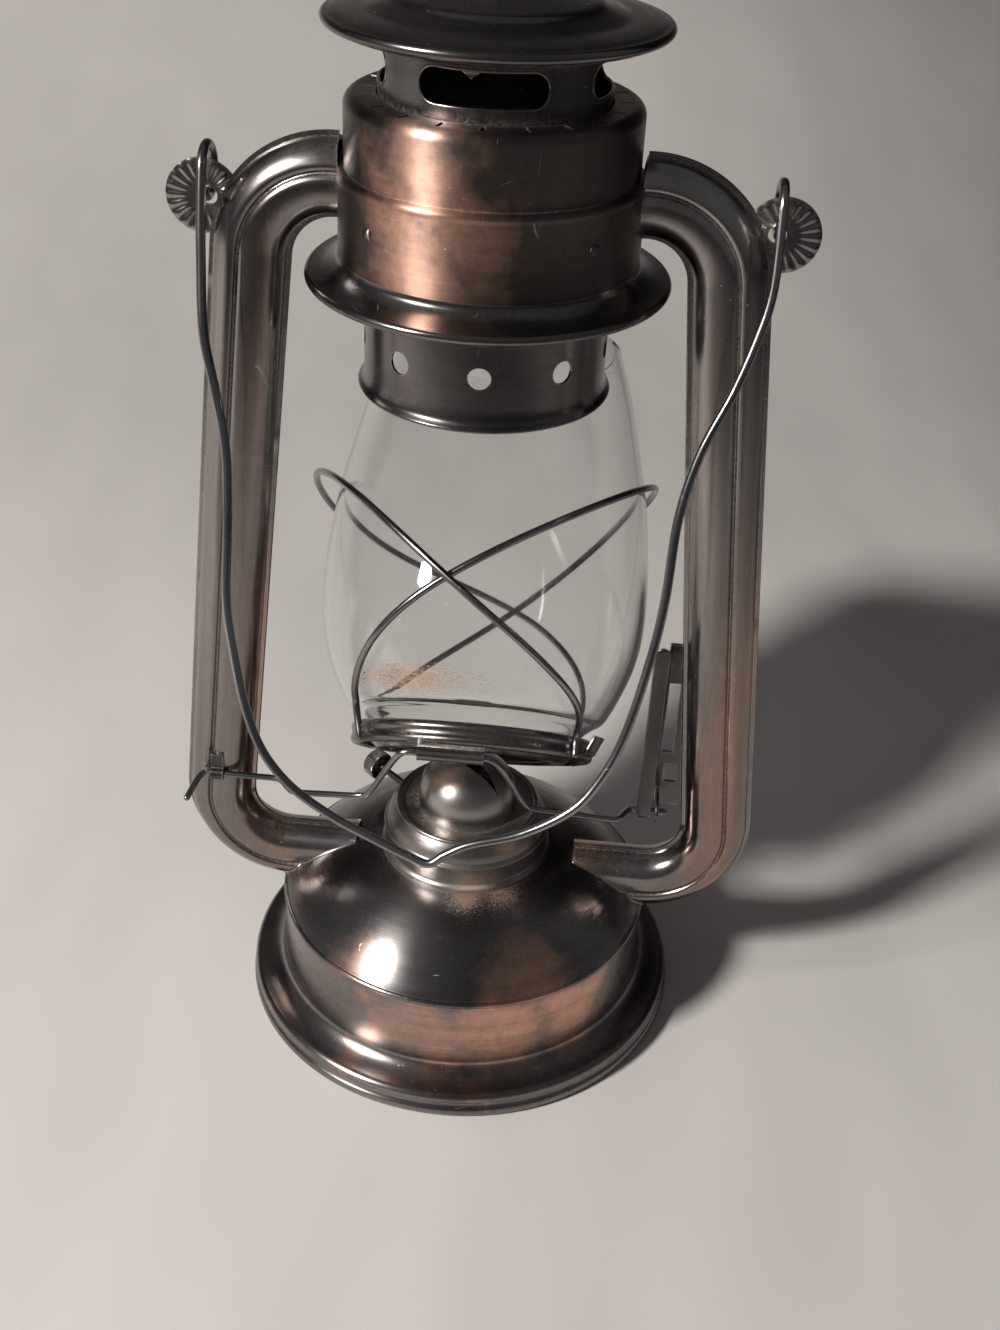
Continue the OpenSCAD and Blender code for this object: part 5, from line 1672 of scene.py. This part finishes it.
    def hood(self) -> bpy.types.Object:
        """Outline: rolled rim, shallow brim, raised middle with a rounded step and a small crown."""
        roll = self.hood_r - self.hood_roll_r
        z = self.hood_rim_z
        top = rounded_line(
            [
                [roll + 0.3, z + 1.25], [roll - 2, z + 1.9], [roll - 6, z + 2.35], [32.6, z + 2.5], [27.0, 316.9],
                [25.2, 318.3], [14.0, 319.9], [11.0, 320.0], [8.5, self.hood_top_z], [0.0, self.hood_top_z],
            ],
            1.4, 6,
        )
        under = beside(top, self.sheet)[::-1]
        under[0, 0] = 0
        rim = arc((roll, z), self.hood_roll_r, -190, 75, 22)
        return new_object("chimney_hood_sheet", [revolved(np.vstack([rim, top, under]), 192)])

    def liner(self) -> bpy.types.Object:
        """A shallow dish under the hood."""
        line = rounded_line(
            [
                [self.hood_r - 2 * self.hood_roll_r - 0.1, self.neck_top_z + 3.2],
                [self.neck_r + 3, self.neck_top_z + self.sheet],
                [self.neck_r - self.sheet, self.neck_top_z + self.sheet],
            ],
            2.0,
        )
        return new_object("hood_liner_sheet", [revolved(sheet_outline(line, self.sheet), 160)])

    def staple(self) -> bpy.types.Object:
        """A half ring of wire that stands on the hood, in the plane of Y and Z."""
        a = np.radians(np.linspace(0, 180, 37))
        route = np.stack([0 * a, self.staple_r * np.cos(a), self.hood_top_z + self.staple_r * np.sin(a)], axis=1)
        return new_object("hood_staple_wire", [wire_shell(route, self.staple_wire_r, np.array([1.0, 0, 0]))])

    def ring(self) -> bpy.types.Object:
        """The lifting ring: a circle of wire laid back on the hood."""
        outline = arc((self.ring_r, 0), self.ring_wire_r, 0, 342, 19)
        shell = revolved(outline, 96)
        shift = (0, self.ring_r, self.hood_top_z + 1.3)
        return new_object("hood_ring_wire", [shell.turned(np.eye(3), shift)])

    def build(self, shop: Workshop) -> None:
        """Makes and dresses the chimney's pieces."""
        shop.place(self.neck(), self.body, HOOD, "chimney_neck")
        shop.place(self.slot_lips(), self.body, HOOD)
        shop.place(self.slot_tab(), self.body, HOOD)
        shop.place(self.globe_collar(), self.body, HOOD, "globe_collar")
        shop.place(self.hood(), self.body, HOOD, "chimney_hood")
        shop.place(self.liner(), self.body, HOOD, "hood_liner")
        shop.place(self.staple(), self.body, WIRE, "hood_staple")
        shop.place(self.ring(), "hood_ring", WIRE, "hood_ring")


# Globe, its plate and guard wires


@dataclass
class GlobeAssembly:
    """The glass, the plate that it stands in and the two wires that guard it, all tipped back."""

    tilt: float = 40.0
    plate_at: tuple[float, float] = (9.3227, 86.3971)
    globe_h: float = 134.0
    glass_t: float = 2.0
    plate_r: float = 39.5
    roll_r: float = 1.8
    hole_r: float = 25.0
    barrel_reach: float = 37.0
    barrel_drop: float = 6.5
    wire_r: float = 1.15
    foot_angle: float = 146.0
    body: str = "globe_assembly"
    guard_base: tuple[float, float] = (38.6, 5.0)
    left_guard: tuple = (47.8, 36.4, 13.4, -17.8, 8.5, 8.3)
    right_guard: tuple = (48.9, 39.9, 6.9, -3.0, 2.5, 3.5)
    film_heights: tuple[float, float] = (9.0, 27.0)
    film_angles: tuple[float, float] = (-155.0, -72.0)
    glass_points: tuple = (
        (35.2, 0.9), (35.2, 4.6), (38.4, 7.6), (43.4, 12.0), (51.0, 30.0), (53.3, 50.0), (51.3, 78.0),
        (47.6, 98.0), (43.2, 118.0), (38.4, 133.98),
    )

    def tipped(self, shell: Shell) -> Shell:
        """Lays an upright shell into the tipped globe's place."""
        return shell.turned(turn_matrix("X", -self.tilt), (0, *self.plate_at))

    def glass(self) -> bpy.types.Object:
        """Smooth line from the foot to the mouth, its wall inwards, with rounded rims."""
        outside = smooth_line(self.glass_points, 8)
        inside = beside(outside, self.glass_t)[::-1]
        mouth = (outside[-1] + inside[0]) / 2
        foot = (outside[0] + inside[-1]) / 2
        top_rim = mouth + (self.glass_t / 2) * np.array([[0.7, 0.55], [0.0, 0.8], [-0.7, 0.55]]) * [1, 0.5]
        low_rim = foot + (self.glass_t / 2) * np.array([[-0.7, -0.3], [0.0, -0.5], [0.7, -0.3]])
        outline = np.vstack([outside, top_rim, inside, low_rim])
        return new_object("globe_glass", [self.tipped(revolved(outline, 176))])

    def rust_film(self) -> bpy.types.Object:
        """A patch just off the glass: part of its outside, 0.1 mm out, closed by a line 0.05 mm further in."""
        outside = smooth_line(self.glass_points, 8)
        low, high = self.film_heights
        part = even_line(outside[(outside[:, 1] > low) & (outside[:, 1] < high)], 30)
        loop = np.vstack([beside(part, -0.1), beside(part, -0.05)[::-1]])
        a = np.radians(np.linspace(*self.film_angles, 40))[:, None]
        r, z = loop[None, :, 0], loop[None, :, 1]
        grid = np.stack([r * np.cos(a), r * np.sin(a), z + 0 * a], axis=-1)
        shell = grid_shell(grid, ring_rows=False, ring_columns=True, capped=True)
        return new_object("globe_rust_film", [self.tipped(shell)])

    def plate(self) -> bpy.types.Object:
        """Outline: disc from the hole to the double rolled rim and back underneath, pierced by holes."""
        roll = self.plate_r - self.roll_r
        outline = np.vstack(
            [
                [[self.hole_r, -0.4], [self.hole_r, 0.4], [roll - 3, 0.4]],
                arc((roll, 2.2), self.roll_r, 205, -38, 20),
                arc((roll, -1.5), self.roll_r, 38, -205, 20),
                [[roll - 3, -0.4]],
            ]
        )
        obj = new_object("globe_plate_sheet", [self.tipped(revolved(outline, 192))])
        self.drill(obj, 29.5, 1.5, -2.0, 0.0)
        return obj

    def drill(self, obj: bpy.types.Object, ring_r: float, hole_r: float, z: float, first: float) -> None:
        """Drills 24 round holes through a piece of the plate.

        Args:
            obj: The piece.
            ring_r: Radius of the ring of holes.
            hole_r: Radius of each hole.
            z: Height where the drills start.
            first: Angle of the first hole in degrees.
        """
        rim = arc((ring_r, 0), hole_r, 0, 340, 17)
        levels = np.array([z, z + 4])[:, None]
        grid = np.stack([rim[None, :, 0] + 0 * levels, rim[None, :, 1] + 0 * levels, levels + 0 * rim[None, :, 0]], -1)
        bit = grid_shell(grid, ring_rows=False, ring_columns=True, capped=True)
        turns = [first + 15 * k for k in range(24)]
        pierce(obj, [self.tipped(bit.turned(turn_matrix("Z", turn))) for turn in turns])

    def gallery(self) -> bpy.types.Object:
        """A flanged ring under the plate, pierced between the plate's own holes."""
        line = rounded_line(
            [[self.hole_r + 0.6, -3.4], [self.hole_r + 1.6, -4.1], [30.5, -4.1], [33.8, -1.1], [33.8, -0.4]], 0.5
        )
        obj = new_object("plate_gallery_sheet", [self.tipped(revolved(sheet_outline(line, 0.6), 144))])
        self.drill(obj, 28.5, 1.2, -6.0, 7.5)
        return obj

    def glass_radius(self, s: np.ndarray) -> np.ndarray:
        """Radius that the guards keep to at the heights s: the glass's outside above its foot."""
        line = smooth_line(self.glass_points, 8)
        r, height = np.vstack([[self.guard_base], line[line[:, 1] > 11.9]]).T
        return np.interp(s, height, r)

    def guard(self, turn: float, shape: tuple[float, ...]) -> np.ndarray:
        """Route of one guard wire.

        With a the angle from the middle of the wire's own side and e = 1 - (a / foot angle)^4, the
        height is middle + rise cos(a - lean e) + skew e sin 2a, less a parabola where the wire dips
        to the rim, and the wire keeps its gap to the glass.

        Args:
            turn: Angle of the wire's own side in degrees.
            shape: The middle, rise, dip, lean, skew and gap.

        Returns:
            The route, one row for each point, in the upright plate's frame.
        """
        middle, rise, dip, lean, skew, gap = shape
        a = np.linspace(-self.foot_angle, self.foot_angle, 121)
        away = 1 - (a / self.foot_angle) ** 4
        height = middle + rise * np.cos(np.radians(a - lean * away)) + skew * away * np.sin(np.radians(2 * a))
        height -= dip * (np.maximum(np.abs(a) - 100, 0) / 46) ** 2
        blend = (np.maximum(np.abs(a) - 118, 0) / (self.foot_angle - 118)) ** 2
        r = self.glass_radius(height) + gap * (1 - blend) + 2.1 * blend
        angle = np.radians(turn + a)
        wrap = np.stack([r * np.cos(angle), r * np.sin(angle), height], axis=1)
        foot_r = self.plate_r + self.wire_r + 0.05
        ends = np.radians(turn + np.array([-self.foot_angle, self.foot_angle]))
        feet = np.stack([foot_r * np.cos(ends), foot_r * np.sin(ends), [-2.0, -2.0]], axis=1)
        low = even_line(smooth_line([feet[0], wrap[0], wrap[4]], 12), 24)
        high = even_line(smooth_line([wrap[-5], wrap[-1], feet[1]], 12), 24)
        return even_line(np.vstack([low[:13], wrap[1:-1], high[-13:]]), 220)

    def build(self, shop: Workshop) -> None:
        """Makes and dresses the pieces of the globe and its plate."""
        shop.place(self.glass(), self.body, GLASS, "globe")
        shop.place(self.rust_film(), self.body, RUST_ON_GLASS)
        shop.place(self.plate(), self.body, PLATE, "globe_plate")
        shop.place(self.gallery(), self.body, PLATE, "plate_gallery")
        shop.soften("plate_barrel", self.body, PLATE, 0.15)
        shop.soften("thumb_tab", self.body, PLATE, 0.15)
        for side, turn, shape in (("left", 180.0, self.left_guard), ("right", 0.0, self.right_guard)):
            route = self.guard(turn, shape)
            outward = route * np.array([1.0, 1.0, 0.0])
            shell = wire_shell(route, self.wire_r, outward)
            obj = new_object(f"guard_wire_{side}_bend", [self.tipped(shell)])
            shop.place(obj, self.body, WIRE, f"guard_wire_{side}")


# Lift crank and bail


@dataclass
class LiftCrank:
    """The bent wire across the front, its lever, the bracket on the right tube and the clip."""

    wire_r: float = 1.0
    body: str = "lift_crank"
    route: tuple = (
        (-87.6, -20.0, 77.4), (-86.6, -15.4, 78.6), (-85.4, -11.2, 79.8), (-83.8, -9.6, 80.2),
        (-82.6, -9.6, 80.2), (-72.0, -9.6, 80.2), (-61.6, -9.6, 80.2), (-58.8, -10.8, 80.3),
        (-56.0, -14.6, 80.7), (-53.0, -16.8, 81.0), (-42.0, -17.0, 81.5), (-33.0, -17.0, 82.0),
        (-29.6, -18.2, 84.6), (-24.8, -20.6, 94.0), (-20.4, -22.7, 102.6), (-17.6, -23.2, 105.2),
        (-13.0, -23.2, 105.2), (-4.0, -23.2, 105.2), (5.0, -23.2, 105.2), (8.4, -23.2, 104.8),
        (11.4, -22.4, 101.6), (14.4, -20.8, 95.6), (18.2, -18.2, 86.6), (21.8, -17.0, 82.8),
        (30.0, -17.0, 82.2), (46.0, -17.0, 81.3), (49.0, -16.0, 81.1), (51.0, -12.0, 80.5),
        (52.6, -9.6, 80.2), (53.8, -9.6, 80.2), (58.0, -9.6, 80.2), (63.4, -9.6, 80.2),
    )

    def build(self, shop: Workshop) -> None:
        """Makes the wire and dresses the lever, bracket and clip."""
        line = even_line(smooth_line(self.route, 6), 300)
        obj = new_object("lift_wire_bend", [wire_shell(line, self.wire_r, np.array([0.0, 0.0, 1.0]))])
        shop.place(obj, self.body, WIRE, "lift_wire")
        shop.soften("lift_lever", self.body, LEVER, 0.25)
        shop.soften("lever_bracket", "lantern_frame", LEVER, 0.12)
        shop.soften("wire_clip", "lantern_frame", LEVER, 0.2)


@dataclass
class Bail:
    """The wire handle that hangs in front, with a loop through each ear."""

    wire_r: float = 1.3
    loop_r: float = 6.6
    pivot_z: float = 270.8
    lean: float = 18.0
    hole_x: float = 74.5
    body: str = "bail"
    drop: tuple = (
        (-74.5, 8.0), (-74.2, 22.0), (-73.2, 41.0), (-69.8, 56.0), (-66.5, 72.0), (-65.6, 91.0), (-65.4, 113.0),
        (-63.2, 127.0), (-59.5, 143.0), (-54.4, 155.5), (-46.0, 165.5), (-34.0, 173.5), (-22.0, 179.2),
        (-12.0, 183.5), (-5.5, 185.5), (-1.0, 182.5), (6.0, 178.7), (20.0, 174.3), (33.6, 166.0), (41.2, 156.0),
        (47.0, 142.0), (52.0, 120.0), (54.4, 103.0), (55.8, 81.0), (59.8, 63.5), (67.2, 46.0), (72.3, 30.0),
        (74.2, 20.0), (74.5, 8.0),
    )

    def route(self) -> tuple[np.ndarray, np.ndarray]:
        """Route of the wire and the direction that its section keeps to.

        Each loop is a circle about the pivot in the plane of Y and Z. The drop lies in a plane that
        leans by the angle of the bail: a point at x and s is x across and s down that plane. The
        section's direction swings from X in the loops to the plane's own normal in the drop.

        Returns:
            The route and the directions, one row for each point.
        """
        lean = math.radians(self.lean)
        x, s = smooth_line(self.drop, 8).T
        drop = np.stack(
            [
                x,
                -self.loop_r * math.cos(lean) - s * math.sin(lean),
                self.pivot_z + self.loop_r * math.sin(lean) - s * math.cos(lean),
            ],
            axis=1,
        )
        a = np.radians(np.linspace(335, 5, 60)) + lean
        ring = np.stack([0 * a, -self.loop_r * np.cos(a), self.pivot_z + self.loop_r * np.sin(a)], axis=1)
        side = np.array([self.hole_x, 0.0, 0.0])
        line = even_line(np.vstack([ring - side, drop, (ring + side)[::-1]]), 560)
        down = np.clip((self.pivot_z - 8 - line[:, 2]) / 14, 0, 1)[:, None]
        normal = np.array([0.0, math.cos(lean), -math.sin(lean)])
        return line, (1 - down) * np.array([1.0, 0.0, 0.0]) + down * normal

    def build(self, shop: Workshop) -> None:
        """Makes and dresses the bail."""
        line, side = self.route()
        obj = new_object("bail_wire", [wire_shell(line, self.wire_r, side)])
        shop.place(obj, self.body, WIRE, "bail")


# Studio


@dataclass
class Studio:
    """Pale cloth, one soft lamp and the camera at the photograph's viewing angle."""

    camera_at: tuple[float, float, float] = (0.0324, -0.4121, 0.3951)
    right: tuple[float, float, float] = (0.9954, 0.0859, 0.0427)
    up: tuple[float, float, float] = (-0.0828, 0.5439, 0.8350)
    forward: tuple[float, float, float] = (-0.0485, 0.8347, -0.5485)
    focal_px: float = 1600.0
    frame_h: float = 1330.0
    sensor_mm: float = 36.0
    backdrop_from: float = 0.45
    backdrop_r: float = 0.9
    cloth_colour: Colour = (0.58, 0.55, 0.525)
    world_colour: Colour = (0.10, 0.10, 0.104)

    def camera(self) -> None:
        """Places the camera."""
        data = bpy.data.cameras.new("view")
        data.sensor_fit = "VERTICAL"
        data.sensor_height = self.sensor_mm
        data.lens = self.sensor_mm * self.focal_px / self.frame_h
        data.clip_start = 0.01
        obj = bpy.data.objects.new("view", data)
        columns = np.array([self.right, self.up, [-value for value in self.forward]]).T
        pose = np.eye(4)
        pose[:3, :3] = columns
        pose[:3, 3] = self.camera_at
        obj.matrix_world = Matrix(pose.tolist())
        bpy.context.scene.collection.objects.link(obj)
        bpy.context.scene.camera = obj

    def floor(self) -> None:
        """A wide pale floor that rises into a backdrop far behind the lantern."""
        start, rise = self.backdrop_from, self.backdrop_r
        flat = np.linspace(-3.0, start, 4)
        turn = np.radians(np.linspace(-90, 0, 24))[1:]
        y = np.concatenate([flat, start + rise * np.cos(turn)])
        z = np.concatenate([0 * flat, rise + rise * np.sin(turn)])
        y, z = np.append(y, start + rise), np.append(z, 3.0)
        x = np.linspace(-4.0, 4.0, 3)[:, None]
        grid = np.stack([x + 0 * y, y + 0 * x, z - 0.00005 + 0 * x], axis=-1) / MM
        shell = grid_shell(grid, ring_rows=False, ring_columns=False)
        mesh = bpy.data.meshes.new("floor")
        mesh.from_pydata(shell.points * MM, [], shell.faces)
        mesh.polygons.foreach_set("use_smooth", np.ones(len(mesh.polygons), bool))
        obj = bpy.data.objects.new("floor", mesh)
        bpy.context.scene.collection.objects.link(obj)
        mesh.materials.append(self.cloth())

    def cloth(self) -> bpy.types.Material:
        """Pale cloth with soft folds, darker towards the front, with painted shade far to the right, behind and high
        up the backdrop, where little of the lamp's light reaches.
        """
        material = bpy.data.materials.new("floor_cloth")
        material.use_nodes = True
        w = Wiring(material.node_tree)
        shader = material.node_tree.nodes["Principled BSDF"]
        place = w.node("ShaderNodeTexCoord").outputs["Object"]
        x, y, z = w.node("ShaderNodeSeparateXYZ", {0: place}).outputs
        # Painted shade: the cloth's colour darkens far to the right and behind, and high up the backdrop, where little
        # lamp light reaches; it also darkens towards the front.
        aside = w.math("ADD", x, w.math("MULTIPLY", y, 0.35))
        painted_shade = w.math("MULTIPLY", w.ranged(aside, 0.35, 1.0, 1.0, 0.12), w.ranged(y, -0.54, -0.24, 0.06, 1.0))
        painted_shade = w.math("MULTIPLY", painted_shade, w.ranged(z, 0.12, 0.7, 1.0, 0.12))
        folds = w.noise(w.vector("MULTIPLY", place, (1.0, 0.45, 1.0)), 7.0, 2)
        bump = w.node("ShaderNodeBump", {"Height": folds, "Strength": 0.5, "Distance": 0.02})
        w.feed(shader.inputs["Base Color"], w.scaled(self.cloth_colour, painted_shade))
        w.feed(shader.inputs["Normal"], bump.outputs[0])
        shader.inputs["Roughness"].default_value = 0.9
        return material

    def lamp(self, name: str, at: tuple[float, float, float], size: float, watts: float, warmth: Colour) -> None:
        """Adds a round soft lamp that looks at the lantern's middle.

        Args:
            name: The lamp's name.
            at: Its place in metres.
            size: Its diameter in metres.
            watts: Its power.
            warmth: Its colour.
        """
        data = bpy.data.lights.new(name, "AREA")
        data.shape = "DISK"
        data.size = size
        data.energy = watts
        data.color = warmth
        obj = bpy.data.objects.new(name, data)
        away = (np.array(at) - np.array([0.0, 0.0, 0.14])).tolist()
        obj.matrix_world = Matrix.Translation(at) @ Vector(away).to_track_quat("Z", "Y").to_matrix().to_4x4()
        bpy.context.scene.collection.objects.link(obj)

    def build(self) -> None:
        """Sets up the floor, lamp, world and camera."""
        self.floor()
        self.lamp("key", (-1.10, -0.90, 1.12), 0.28, 44.0, (1.0, 0.97, 0.94))
        world = bpy.data.worlds.new("studio")
        world.use_nodes = True
        world.node_tree.nodes["Background"].inputs["Color"].default_value = (*self.world_colour, 1)
        world.node_tree.nodes["Background"].inputs["Strength"].default_value = 1.0
        bpy.context.scene.world = world
        bpy.context.scene.view_settings.view_transform = "Standard"
        self.camera()


def main() -> None:
    """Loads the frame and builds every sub-assembly."""
    logging.basicConfig(level=logging.INFO, format="%(name)s: %(message)s")
    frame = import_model()
    shop = Workshop(frame)
    fount = Fount()
    fount.build(shop)
    Burner().build(shop)
    SideTubes(fount).build(shop)
    AirChamber().build(shop)
    Chimney().build(shop)
    GlobeAssembly().build(shop)
    LiftCrank().build(shop)
    Bail().build(shop)
    Studio().build()


if __name__ == "__main__":
    main()
